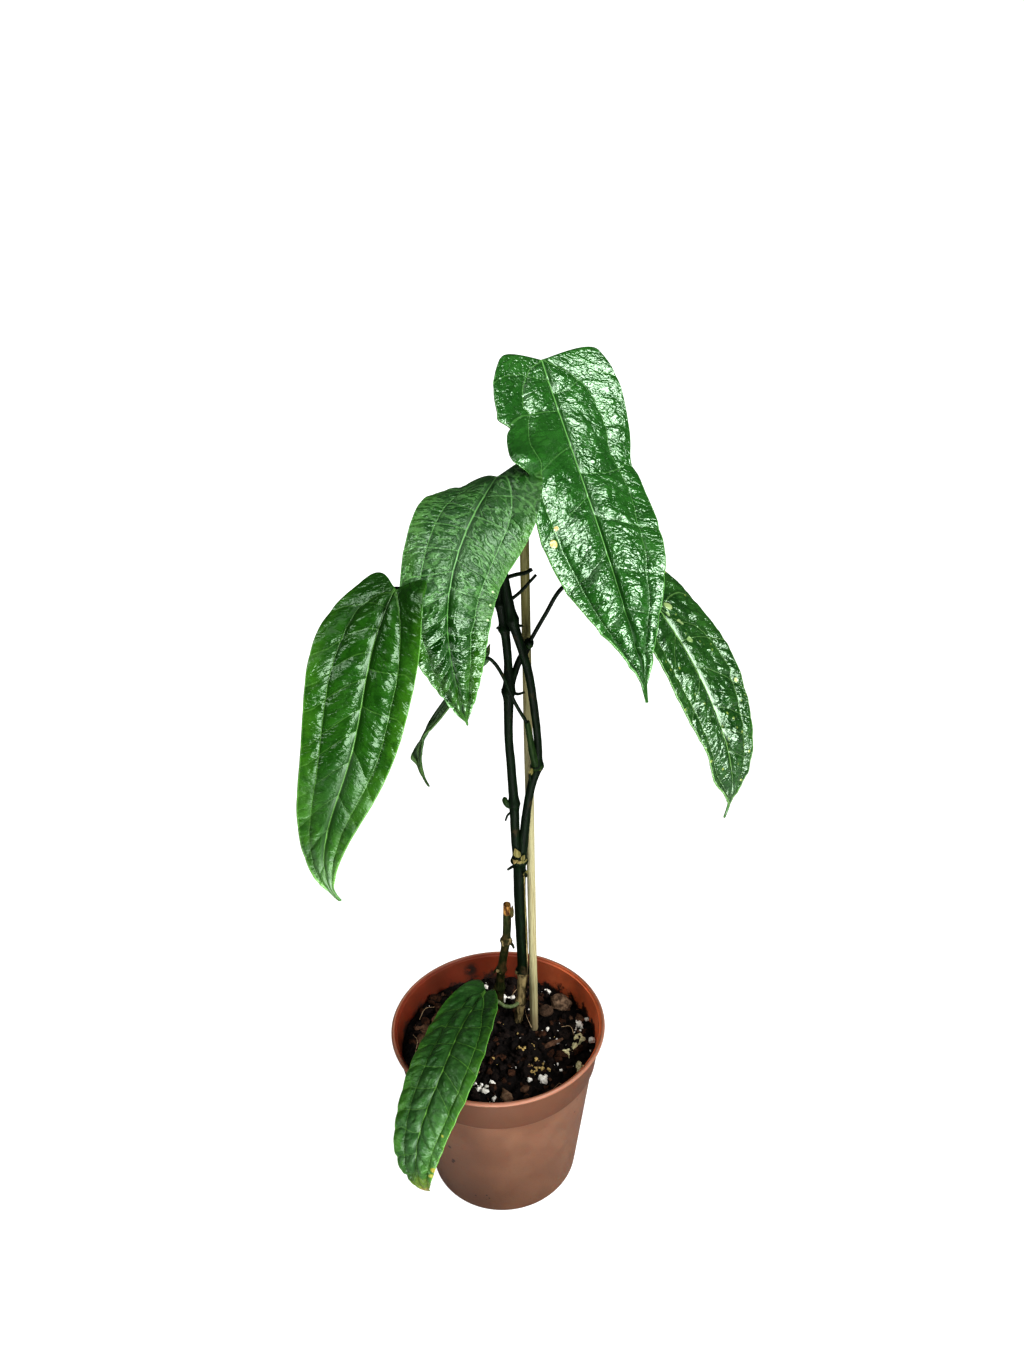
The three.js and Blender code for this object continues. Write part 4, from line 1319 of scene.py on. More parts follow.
@dataclass
class Stems:
    """The living stems with their roots and rings, and the stub of an old one."""

    main: Shoot = Shoot("stem", (
        (10.5, 18.8, 56, 2.6), (11.5, 18.6, 86, 2.6), (13.3, 18.2, 99.8, 2.7), (15.1, 17, 122.7, 3.1),
        (15.1, 15, 152.6, 3.3), (15, 12.8, 181.2, 3.3), (15.5, 11, 201.9, 3.5),
    ))
    left: Shoot = Shoot("left shoot", (
        (15.2, 11, 198, 3), (13.8, 10.5, 218, 2.5), (13.7, 10, 236.7, 2.5), (13.1, 10, 257.5, 2.3),
        (12.4, 10, 274.8, 2.2), (12.7, 10, 288.8, 2.3), (13.1, 10, 301.4, 2.6), (13.4, 10, 315.9, 2.1),
        (12.9, 10, 329, 2.1), (11.6, 9.5, 340.5, 2.1), (10.8, 9, 349.8, 2.2), (10.4, 8, 364, 1.8),
    ))
    right: Shoot = Shoot("right shoot", (
        (15.6, 11, 198, 3), (18.3, 10.5, 217.8, 2.6), (20.6, 9.5, 236.7, 2.2), (23.3, 9, 250, 2.2),
        (26.1, 8.5, 260.1, 2.4), (26.8, 8, 272.4, 2), (25.5, 7, 292.5, 2), (23.3, 6, 311.9, 2.1),
        (20.3, 5, 325.6, 2.1), (16.9, 4.5, 338.7, 2.4), (14.6, 4, 351.5, 2.3), (12.6, 3, 370, 2),
    ))
    side: Shoot = Shoot("side shoot", (
        (13.1, 10, 301.4, 2), (16.1, 11.5, 309.8, 1.7), (18.8, 12, 316.9, 1.7), (21.6, 11.5, 321.7, 1.8),
        (23.6, 11, 326.1, 1.9), (24.3, 10.6, 328.4, 1.4),
    ))
    spur: Shoot = Shoot("elbow spur", (
        (26.1, 8.5, 260.1, 2), (24.2, 6.5, 267.6, 1.9), (22.9, 5.5, 277.9, 1.6), (21.6, 5, 287.1, 1.4),
    ))
    old: Shoot = Shoot("cut stem", (
        (0.1, 31.4, 78, 2.7), (0.6, 30, 90.6, 2.6), (1.2, 29, 101.3, 2.6), (2.6, 27.5, 115.1, 2.4),
        (6.1, 25, 138, 2.3), (7.1, 23.5, 151.1, 2.3), (7.6, 22, 165.3, 2.1),
    ))
    rings: tuple[tuple[float, ...], ...] = (
        (15.1, 17, 122.7, 4, 3.4), (13.2, 18.2, 99.6, 3.5, 4), (15.5, 11, 201.9, 4.2, 3.6),
        (13.7, 10, 237.6, 3.2, 4.4), (13.1, 10, 301.6, 3.4, 5), (12.2, 9.8, 334.8, 2.9, 4),
        (10.9, 9, 348, 2.9, 4), (26, 8.4, 260.4, 3.3, 4.4), (16.2, 4.4, 341.5, 3.1, 5),
        (24, 10.9, 327, 2.3, 3),
    )
    old_rings: tuple[tuple[float, ...], ...] = (
        (1.1, 29.1, 100.6, 3.3, 3), (2.6, 27.5, 115, 3.1, 3.4), (6, 25, 137.6, 3.2, 4),
    )
    roots: tuple[tuple[tuple[Point, ...], float, float], ...] = (
        (((12.5, 5.5, 361.5), (19, 3.4, 364), (23.3, 2, 365.2), (26.1, 2, 366.8)), 1, 0.9),
        (((14.2, 4, 350.5), (19.8, 3, 355.1), (27.8, 2, 363.9)), 0.9, 0.7),
        (((16.2, 4.6, 340), (19.6, 3.6, 338.6), (21, 3.2, 338.8)), 0.9, 0.5),
        (((12.4, 9.6, 336), (9.6, 8.6, 336.2), (8.6, 8.4, 335.6)), 0.9, 0.5),
        (((13.4, 10, 302), (17.6, 9.4, 300.4), (21, 9.2, 301.4)), 1, 0.5),
        (((13, 10, 233), (10.4, 9.4, 231.4), (8.9, 9.2, 228)), 0.7, 0.5),
        (((15, 11.4, 199), (10.8, 10.6, 197.6), (8.8, 10.2, 196.4)), 1, 0.6),
        (((15.8, 10, 200), (18.2, 7.4, 197), (18.6, 6.6, 194)), 1.1, 0.7),
        (((25, 7.6, 259), (22.6, 6.4, 258), (22.3, 6, 253)), 1, 0.6),
    )
    old_roots: tuple[tuple[tuple[Point, ...], float, float], ...] = (
        (((5.8, 25.2, 137), (9.4, 23.6, 136), (10.4, 23, 133.6)), 1.1, 0.6),
        (((2.8, 27.4, 116), (-0.8, 26.4, 115.4), (-1.8, 26, 113.6)), 1, 0.5),
        (((1.2, 29, 101.3), (-2.4, 28, 100), (-3, 27.6, 97.6)), 0.9, 0.5),
    )
    skin: StemFinish = StemFinish(
        "stem skin", (0.0007, 0.003, 0.0006), (0.0016, 0.009, 0.0014), (0.03, 0.02, 0.009), 0.06, woody_below=122,
    )
    bright: StemFinish = StemFinish(
        "young stem", (0.004, 0.013, 0.002), (0.013, 0.03, 0.005), (0.07, 0.055, 0.018), 0.1,
    )
    pale: StemFinish = StemFinish("pale petiole", (0.045, 0.065, 0.025), (0.12, 0.15, 0.075), (0.12, 0.09, 0.04), 0.1)
    straw: StemFinish = StemFinish(
        "dry sheath", (0.075, 0.068, 0.02), (0.2, 0.175, 0.075), (0.08, 0.045, 0.02), 0.4, 0.7, woody_below=145,
    )
    aged: StemFinish = StemFinish(
        "old stem", (0.012, 0.016, 0.004), (0.035, 0.042, 0.012), (0.07, 0.045, 0.018), 0.3, 0.6, tan_above=158,
    )
    seam: tuple[Point, ...] = (
        (17.1, 13.6, 121.8), (17.6, 13.4, 126), (17.7, 11.6, 152.6), (17.6, 9.6, 181), (17.7, 8.3, 198),
    )
    collars: tuple[tuple[Point, Point, float], ...] = (
        ((15.5, 11.1, 200.9), (15.6, 10.9, 204.1), 4.35), ((15.1, 17, 122.2), (15.1, 16.9, 123.4), 4.15),
        ((6.2, 24.9, 136.6), (6.4, 24.7, 139), 3.35), ((26.1, 8.5, 259.8), (26, 8.2, 260.7), 3.35),
        ((2.4, 27.7, 113.9), (2.7, 27.4, 115.4), 3.2), ((13.1, 10, 300.7), (13.1, 10, 301.5), 3.45),
    )
    scraps: tuple[tuple[Point, Point, Point], ...] = (
        ((14.2, 7.4, 208.6), (1.9, 0.35, 3.2), (0, -18, 10)), ((17.4, 7.2, 205.8), (1.2, 0.3, 2.2), (0, 24, -20)),
        ((18.6, 7, 196.4), (0.9, 0.4, 2.6), (10, 30, 0)), ((13.2, 7.2, 203.6), (1.6, 0.3, 1.5), (20, -50, 0)),
        ((8.4, 22.3, 139.6), (1.8, 0.3, 1.9), (0, 40, -15)), ((5, 22.6, 137.2), (1.5, 0.3, 1.6), (0, -35, 15)),
        ((22.9, 6, 258.4), (1.1, 0.4, 2.4), (0, 12, 0)), ((11.4, 14.4, 123.4), (0.9, 0.3, 1.7), (0, -30, 10)),
        ((0.6, 25, 116), (1.3, 0.3, 1.3), (0, -30, 0)), ((10.2, 21.6, 160.4), (1.1, 0.5, 4.4), (0, 5, 0)),
    )
    bract: tuple[Point, Point, Point] = ((3.6, 2.6, 326.4), (1.5, 0.6, 4.1), (0, 24, 0))
    bud: tuple[Point, ...] = ((13.4, 10, 236.4), (10.6, 9.4, 237.6), (9, 9.2, 240.4), (9.4, 9.2, 241.6))
    node: tuple[Point, Point, float] = ((23, 11.2, 324.4), (24, 10.7, 327.6), 2.45)

    def twig(self, path: Sequence[Point], start: float, end: float) -> Object:
        """Makes one root or bud stub, thinner towards its tip.

        Args:
            path: its points, from the stem to the tip.
            start: the radius at the stem.
            end: the radius at the tip.

        Returns:
            The mesh object.
        """
        last = len(path) - 1
        rows = [(*p, start + (end - start) * i / last) for i, p in enumerate(path)]
        return tube("root", route(rows, 0.6), 10)

    def collar(self, low: Point, high: Point, radius: float) -> Object:
        """Makes a short dry ring round a stem, with a ragged edge.

        Args:
            low: its lower end, in millimetres.
            high: its upper end.
            radius: its outer radius.

        Returns:
            The mesh object.
        """
        ends = np.array([low, high])
        rows = [(*(ends[0] + (ends[1] - ends[0]) * k / 5), radius - 0.5 * abs(k / 2.5 - 1) ** 3) for k in range(6)]
        item = tube("collar", np.array(rows), 24)
        points = read_points(item) / MM
        points += read_normals(item) * (rough(points, 1.8, 2, 51) * 0.25)[:, None]
        points[:, 2] += rough(points * (1, 1, 0.2), 1.6, 2, 52) * 0.5
        write_points(item, points * MM)
        return item

    def flake(self, centre: Point, half: Point, tilt: Point) -> Object:
        """Makes a small scale: an oval, pointed at its top and slightly cupped.

        Args:
            centre: its place, in millimetres.
            half: its half sizes.
            tilt: its turn about x, y and z, in degrees.

        Returns:
            The mesh object.
        """
        deselect()
        bpy.ops.mesh.primitive_ico_sphere_add(subdivisions=3, radius=1)
        item = bpy.context.object
        unit = read_points(item)
        unit[:, 0] *= 1 - 0.55 * np.clip(unit[:, 2], 0, 1)
        unit[:, 1] -= 1.1 * unit[:, 0] ** 2
        unit += 0.16 * rough(unit, 0.8, 2, centre[0])[:, None] * unit
        write_points(item, unit * half * MM)
        settle(item, centre, tilt)
        return item

    def build(self) -> tuple[Material, Material]:
        """Makes the stems and dresses them.

        Returns:
            The skins that the petioles share: the dark one and the pale one.
        """
        skin, green, dead = self.skin.make(), "green_stem", "old_stem"
        living = [shoot.build(self.rings) for shoot in (self.main, self.left, self.right, self.side)]
        living += [self.twig(*root) for root in self.roots]
        place("living_stems", living, ROUND, green, skin, "stem")
        young = [self.twig(self.bud, 2.2, 1.1), self.collar(*self.node), self.flake(*self.bract)]
        place("buds", young, CREASED, green, self.bright.make())
        dry = [self.collar(*row) for row in self.collars] + [self.flake(*row) for row in self.scraps]
        dry.append(self.twig(self.seam, 0.35, 0.3))
        place("dry_sheaths", dry, CREASED, dead, self.straw.make())
        place("elbow_spur", [self.spur.build(self.rings)], ROUND, green, self.bright.make())
        old = [self.old.build(self.old_rings), *(self.twig(*root) for root in self.old_roots)]
        place("old_stub", old, CREASED, dead, self.aged.make(), "cut_stem")
        return skin, self.pale.make()


@dataclass
class Stake:
    """The wooden stake behind the stems."""

    radius: float = 2.25
    foot: Point = (19.8, 11.6, 20)
    top: Point = (23.7, 21, 420)
    uneven: float = 0.12

    def build(self) -> None:
        """Makes and dresses the stake, slightly uneven as split wood is."""
        rows = [(*(f + (t - f) * k / 12 for f, t in zip(self.foot, self.top)), self.radius) for k in range(13)]
        item = tube("stake", route(rows, 4), 28)
        points = read_points(item) / MM
        wave = rough(points * (1, 1, 0.05), 2.2, 2, 21) + rough(points * (0.2, 0.2, 0.1), 5, 1, 22)
        write_points(item, (points + read_normals(item) * self.uneven * wave[:, None] * (1, 1, 0)) * MM)
        place("stake_rod", [item], FACETED, "stake_wood", WoodFinish().make(), "stake")


# Pot and potting mix


@dataclass
class Pot:
    """The nursery pot: a tapered body, a tall collar and a rolled lip.

    step is how far the collar stands out from the body, flare how much it widens upwards, foot the
    radius of the bottom edge, and bead the half width and half height of the lip.
    """

    height: float = 102
    rim: float = 60
    collar: float = 23.5
    base: float = 42
    shoulder: float = 53.5
    step: float = 1.4
    flare: float = 3.3
    wall: float = 1.2
    floor: float = 1.6
    foot: float = 3
    bead: tuple[float, float] = (1.15, 1.35)
    drains: int = 8
    drain_radius: float = 33
    drain_length: float = 7
    drain_width: float = 5
    segments: int = 160

    def wall_radius(self, z: float) -> float:
        """Outer radius of the tapered body at a height."""
        return self.base + (self.shoulder - self.base) * z / (self.height - self.collar)

    def collar_radius(self, z: float) -> float:
        """Outer radius of the collar at a height."""
        return self.shoulder + self.step + self.flare * (z - self.height + self.collar) / self.collar

    def profile(self) -> list[tuple[float, float]]:
        """Lays out the pot's section.

        Returns:
            The closed outline of radius and height, from the floor's underside round to its top.
        """
        top, low, foot, wall = self.height, self.height - self.collar, self.foot, self.wall
        body, collar = self.wall_radius, self.collar_radius
        centre = self.base - foot
        turns = [math.radians(18 * k) for k in range(1, 6)]
        reach = body(foot) - self.base + foot
        wide, tall = self.bead
        return [
            (0, 0), (centre, 0), *((centre + reach * math.sin(a), foot * (1 - math.cos(a))) for a in turns),
            (body(low - 1.4), low - 1.4), (body(low) + 0.5, low - 0.5),
            (collar(low) - 0.3, low + 0.4), (collar(low), low + 1.2), (collar(top - 3.4), top - 3.4),
            *(
                (self.rim - wide + wide * math.sin(a), top - tall + tall * math.cos(a))
                for a in np.radians(range(140, -91, -23))
            ),
            (collar(top) - wall - 0.1, top - 1.8), (collar(low) - wall, low + 1), (body(low) - wall, low - 0.3),
            (body(foot) - wall, foot + 1), (centre - 0.2, self.floor), (0, self.floor),
        ]

    def drain_cutter(self) -> Object:
        """Makes the blocks that cut the drain holes.

        Returns:
            All the blocks as one mesh object.
        """
        cutters = []
        for k in range(self.drains):
            angle = 2 * math.pi * (k + 0.5) / self.drains
            deselect()
            bpy.ops.mesh.primitive_cube_add(size=1)
            cutters.append(bpy.context.object)
            cutters[-1].scale = (self.drain_length * MM, self.drain_width * MM, 4 * self.floor * MM)
            centre = Vector((math.cos(angle), math.sin(angle), 0)) * self.drain_radius
            settle(cutters[-1], centre, (0, 0, math.degrees(angle)))
        return join("drain cutter", cutters)

    def build(self, soil_level: float) -> None:
        """Spins the outline about the axis, cuts the drain holes and dresses the pot.

        Args:
            soil_level: height of the mix, in millimetres.
        """
        outline = self.profile()
        mesh = bpy.data.meshes.new("pot")
        edges = [(i, i + 1) for i in range(len(outline) - 1)]
        mesh.from_pydata([(r * MM, 0, z * MM) for r, z in outline], edges, [])
        item = linked("pot outline", mesh)
        with editing(item):
            bpy.ops.mesh.spin(steps=self.segments, angle=2 * math.pi, center=(0, 0, 0), axis=(0, 0, 1))
        recalculate(item)
        cutter = self.drain_cutter()
        apply_modifier(item, "BOOLEAN", operation="DIFFERENCE", solver="EXACT", object=cutter)
        bpy.data.objects.remove(cutter)
        points = read_points(item) / MM
        radius, z = np.hypot(points[:, 0], points[:, 1]), points[:, 2]
        skin = np.where(z > self.height - self.collar, self.collar_radius(z), self.wall_radius(z)) - self.wall / 2
        within = (radius < np.where(z > self.height - 3, self.rim - 1.6, skin)) & (z > self.floor / 2)
        write_attribute(item, "within", within.astype(float))
        place("pot_shell", [item], MOULDED, "pot_plastic", PlasticFinish().make(soil_level), "pot")


class Grit(Enum):
    """Kinds of loose bits: name, slot, dark and light colour, mottle size, relief, and thickness against length."""

    CRUMB = ("soil_crumbs", "potting_mix", (0.002, 0.0012, 0.001), (0.014, 0.008, 0.006), 1.6, 0.4, 0.8)
    BARK = ("bark_bits", "bark", (0.01, 0.004, 0.002), (0.06, 0.025, 0.012), 2.0, 0.4, 0.45)
    CHIP = ("bark_chips", "bark", (0.045, 0.022, 0.013), (0.15, 0.085, 0.05), 3.0, 0.5, 0.35)
    PERLITE = ("perlite", "potting_mix", (0.6, 0.58, 0.5), (0.92, 0.9, 0.84), 0.9, 0.25, 0.85)
    CHALK = ("pale_grit", "potting_mix", (0.5, 0.45, 0.22), (0.85, 0.8, 0.52), 1.2, 0.4, 0.8)
    TAN = ("tan_grit", "potting_mix", (0.26, 0.17, 0.06), (0.55, 0.42, 0.17), 1.0, 0.3, 0.7)

    def material(self) -> Material:
        """Builds and returns this kind's finish."""
        name, _, dark, light, size, depth, _ = self.value
        return GritFinish(name.replace("_", " "), dark, light, size, depth).make()


@dataclass
class PottingMix:
    """The mix in the pot: a crumbly top that follows the solid, and loose bits on it.

    Bits given one by one are rows of x, y and half length, and groups are rows of x, y and spread.
    KEEP_OFF are the places of stems, stake and lumps, with their radii.
    """

    pot: Pot
    level: float = 85.5
    clearance: float = 0.4
    gap: float = 0.3
    sunk: float = 0.8
    clod: float = 2.2
    crumb: float = 0.75
    thread: float = 0.22
    cells: int = 150
    seed: int = 7

    BRIDGES = (0, 3.5, 6, 9)
    RAY_START = 200
    DEEPEST = 6
    KEEP_OFF = ((11.5, 18.6, 5.5), (20.6, 13.2, 4), (0.6, 30, 5), (36.6, 29.6, 9), (27.6, 23.4, 6.5))
    PERLITE = (
        (29.8, 40.2, 2.5), (8, 37.9, 2.1), (-7.8, 44, 1.9), (2.5, 37.3, 2.3), (33.1, 1.2, 2.2), (46.4, 11.6, 2.7),
        (51.4, 16.2, 1.8), (52.7, -2.9, 2.5), (24.3, -28.8, 3), (16.7, -28.4, 2.1), (-3.9, -29.6, 2.1),
        (-7.7, -35.6, 2.5), (-11, -33.4, 2.2), (-2.9, -40, 1.9), (44.1, 10.9, 2.2), (28, 10, 1.6),
    )
    PERLITE_GROUPS = ((24, -29, 4), (-9, -34, 5), (45, 10, 4), (5, 37, 5), (30, -10, 6))
    CHALK_GROUPS = ((46.2, -0.3, 2.6), (43, -3.5, 3), (38, -9, 2.4), (45, -20, 2.2))
    TAN_GROUPS = ((22.6, -17.2, 4), (18.6, -20.4, 4), (12.4, -4.7, 2.5), (19.2, -4.3, 1.5), (6.7, -43.8, 2))
    THREADS = (
        (
            (25.5, -46.5, 92), (29.7, -42.8, 94.5), (32.2, -40.7, 95), (33.9, -42.2, 95.5), (36.3, -39.3, 95),
            (40, -38.6, 95.4), (42, -34.6, 92),
        ),
        ((30.7, -44.6, 96), (35.2, -43.8, 97.5), (40.2, -40, 98), (44, -35.6, 97), (44.8, -31.4, 93)),
        ((15.3, 26, 88.2), (15.4, 19.2, 91), (16.4, 14, 90.6), (18.8, 8.9, 87.6)),
        ((-49, 4, 90), (-46, -3, 92), (-47, -10, 89)), ((-38, 26, 90), (-43, 22, 92.5), (-46, 15, 91)),
        ((8, 36, 88), (12, 38, 91), (17, 37, 89)), ((36, 8, 88), (41, 6, 90), (43, 1, 88)),
    )
    CHIPS = ((-40, 10, 6.5), (-44, 2, 5), (-36, 17, 5), (0.6, 6, 2.6), (14, -34, 3.2))
    CHIP_GROUPS = ((-45, 10, 7), (-44, -4, 7), (-36, 22, 6), (44, 22, 6))

    def __post_init__(self) -> None:
        """Prepares to read the height of the solid."""
        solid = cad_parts["potting_mix"]
        vertices = [v.co.copy() for v in solid.data.vertices]
        self.tree = BVHTree.FromPolygons(vertices, [tuple(p.vertices) for p in solid.data.polygons])
        self.inner = self.pot.collar_radius(self.level) - self.pot.wall - self.clearance
        self.draw = random.Random(self.seed)

    def solid_height(self, x: float, y: float) -> float:
        """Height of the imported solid's top, with the stem holes bridged.

        Args:
            x: the place, in millimetres.
            y: the same.

        Returns:
            The height in millimetres.
        """
        for reach in self.BRIDGES:
            found = []
            for k in range(8 if reach else 1):
                turn = k * math.pi / 4
                spot = Vector((x + reach * math.cos(turn), y + reach * math.sin(turn), self.RAY_START)) * MM
                hit = self.tree.ray_cast(spot, Vector((0, 0, -1)))[0]
                if hit is not None and hit.z / MM > self.level - self.DEEPEST:
                    found.append(hit.z / MM)
            if found:
                return sum(found) / len(found)
        return self.level

    def heights(self, points: Array) -> Array:
        """Gives the mix's crumbly top at many places.

        Args:
            points: rows that begin with x and y, in millimetres.

        Returns:
            The height for each row, in millimetres.
        """
        base = np.array([self.solid_height(x, y) for x, y in points[:, :2]])
        flat = np.column_stack([points[:, :2], np.full(len(points), 3.0)])
        return base - self.sunk + np.abs(rough(flat, 6, 3, 31)) * self.clod + rough(flat, 1.9, 3, 32) * self.crumb

    def top(self) -> Object:
        """Makes the mix as one closed body, from its top down to the pot's floor.

        Returns:
            The mesh object.
        """
        deselect()
        bpy.ops.mesh.primitive_grid_add(x_subdivisions=self.cells, y_subdivisions=self.cells, size=2)
        item = bpy.context.object
        square = read_points(item)
        x, y = square[:, 0], square[:, 1]
        disc = np.stack([x * np.sqrt(1 - y * y / 2), y * np.sqrt(1 - x * x / 2), 0 * x], axis=1) * self.inner
        disc[:, 2] = self.heights(disc)
        write_points(item, disc * MM)
        pot = self.pot
        low = pot.height - pot.collar
        for radius, z in (
            (pot.wall_radius(low) - pot.wall - self.clearance, low),
            (pot.base - pot.foot - 2 * self.clearance, pot.floor + self.gap),
        ):
            with editing(item, "DESELECT"):
                bpy.ops.mesh.select_mode(type="EDGE")
                bpy.ops.mesh.select_non_manifold(extend=False)
                bpy.ops.mesh.extrude_edges_move()
            points = read_points(item)
            edge = np.array([v.select for v in item.data.vertices])
            span = np.hypot(points[edge, 0], points[edge, 1])[:, None]
            points[edge, :2] *= radius * MM / span
            points[edge, 2] = z * MM
            write_points(item, points)
        with editing(item, "DESELECT"):
            bpy.ops.mesh.select_non_manifold(extend=False)
            bpy.ops.mesh.edge_face_add()
        recalculate(item)
        return item

    def scatter(self, count: int, sizes: tuple[float, float]) -> list[Point]:
        """Draws bits all over the mix, clear of the stems and the named lumps.

        Args:
            count: how many bits.
            sizes: smallest and largest half length, in millimetres.

        Returns:
            Rows of x, y and half length.
        """
        rows = []
        while len(rows) < count:
            angle = 2 * math.pi * self.draw.random()
            radius = (self.inner - 2.2) * math.sqrt(self.draw.random())
            x, y = radius * math.cos(angle), radius * math.sin(angle)
            if all(math.hypot(x - cx, y - cy) > r for cx, cy, r in self.KEEP_OFF):
                rows.append((x, y, sizes[0] + (sizes[1] - sizes[0]) * self.draw.random() ** 2.5))
        return rows

    def cluster(self, groups: Sequence[Point], each: int, sizes: tuple[float, float]) -> list[Point]:
        """Draws bits round given places.

        Args:
            groups: rows of x, y and how far the bits spread.
            each: how many bits at each place.
            sizes: smallest and largest half length, in millimetres.

        Returns:
            Rows of x, y and half length.
        """
        draw = self.draw
        return [
            (x + draw.gauss(0, r / 2), y + draw.gauss(0, r / 2), draw.uniform(*sizes))
            for x, y, r in groups for _ in range(each)
        ]

    def bits(self, kind: Grit, rows: Sequence[Point]) -> None:
        """Makes one kind of bits: small uneven stones or chips sunk in the top.

        Args:
            kind: which bits.
            rows: x, y and half length of each.
        """
        name, slot, *_, flat = kind.value
        deselect()
        bpy.ops.mesh.primitive_cube_add(size=1)
        item = bpy.context.object
        with editing(item):
            bpy.ops.mesh.subdivide(number_cuts=2)
        unit = read_points(item)
        unit /= np.linalg.norm(unit, axis=1)[:, None] ** 0.7
        faces = np.array([tuple(p.vertices) for p in item.data.polygons])
        draw = self.draw
        shapes, corners = [], []
        for index, ((x, y, half), z) in enumerate(zip(rows, self.heights(np.array(rows)))):
            uneven = 1 + 0.5 * rough(unit, 0.8, 2, 3.1 * index + 0.7)
            shape = unit * uneven[:, None] * (1, 0.55 + 0.4 * draw.random(), flat * (0.7 + 0.6 * draw.random()))
            tilt = Matrix.Rotation(draw.uniform(-0.6, 0.6), 3, "X") @ Matrix.Rotation(draw.uniform(0, 6.28), 3, "Z")
            shapes.append(shape @ np.array(tilt) * half + (x, y, z + 0.35 * half * flat))
            corners.append(faces + index * len(unit))
        mesh = bpy.data.meshes.new(name)
        mesh.from_pydata((np.vstack(shapes) * MM).tolist(), [], np.vstack(corners).tolist())
        item.data = mesh
        recalculate(item)
        place(name, [item], CREASED, slot, kind.material())

    def threads(self) -> None:
        """Makes the thin dry roots that lie on the mix and the wall."""
        parts = [tube("thread", route([(*p, self.thread) for p in path], 0.7), 6) for path in self.THREADS]
        finish = GritFinish("dry root", (0.14, 0.09, 0.05), (0.4, 0.3, 0.18), 2, 0.1)
        place("root_threads", parts, ROUND, "bark", finish.make())

    def build(self) -> None:
        """Makes and dresses the mix and all its bits."""
        self.threads()
        earth = GritFinish("potting mix", (0.0012, 0.0008, 0.0006), (0.008, 0.005, 0.004), 2.4, 0.5)
        place("mix_top", [self.top()], ROUND, "potting_mix", earth.make(), "potting_mix")
        scatter, cluster = self.scatter, self.cluster
        self.bits(Grit.CRUMB, scatter(480, (0.8, 3.4)))
        self.bits(Grit.BARK, scatter(150, (1.2, 4.6)))
        self.bits(Grit.CHIP, [*self.CHIPS, *cluster(self.CHIP_GROUPS, 5, (1.8, 4.5)), *scatter(14, (1.5, 3.5))])
        perlite = [*scatter(70, (0.35, 1.2)), *self.PERLITE, *cluster(self.PERLITE_GROUPS, 5, (0.6, 1.6))]
        self.bits(Grit.PERLITE, perlite)
        self.bits(Grit.CHALK, cluster(self.CHALK_GROUPS, 7, (1, 3)))
        self.bits(Grit.TAN, [*scatter(24, (0.4, 1.2)), *cluster(self.TAN_GROUPS, 9, (0.5, 1.5))])


@dataclass(frozen=True)
class Lump:
    """A separate stone or piece of bark that lies on the mix."""

    name: str
    slot: str
    centre: Point
    half: Point
    turn: float
    dark: Colour
    light: Colour

    def build(self) -> None:
        """Makes and dresses the lump."""
        deselect()
        bpy.ops.mesh.primitive_ico_sphere_add(subdivisions=5, radius=1)
        item = bpy.context.object
        unit = read_points(item)
        shape = 1 + 0.16 * rough(unit, 0.8, 3, self.centre[0]) + 0.05 * rough(unit, 0.2, 3, self.centre[1])
        if self.slot == "bark":
            long = int(self.half[1] > self.half[0])
            unit[:, 1 - long] *= 1 - 0.8 * np.clip(unit[:, long], 0, 1)
        write_points(item, unit * shape[:, None] * self.half * MM)
        settle(item, self.centre, (0, 0, self.turn))
        finish = GritFinish(self.name.replace("_", " "), self.dark, self.light, 3, 0.3)
        place(self.name + "_lump", [item], ROUND, self.slot, finish.make(), self.name)


LUMPS = (
    Lump("clay_pebble", "clay", (36.6, 29.6, 86.6), (6.6, 5.2, 4), -25, (0.035, 0.02, 0.012), (0.21, 0.14, 0.09)),
    Lump("brown_pebble", "stone", (27.6, 23.4, 86.4), (4.2, 4, 3), 10, (0.012, 0.007, 0.004), (0.075, 0.045, 0.028)),
    Lump("bark_twig", "bark", (31, -1.5, 85.3), (8, 1.7, 1.3), 28, (0.03, 0.015, 0.009), (0.11, 0.06, 0.035)),
    Lump("bark_shard", "bark", (3.5, -38, 84.9), (3.4, 5.4, 1.4), 20, (0.06, 0.03, 0.018), (0.2, 0.13, 0.08)),
)


# Studio


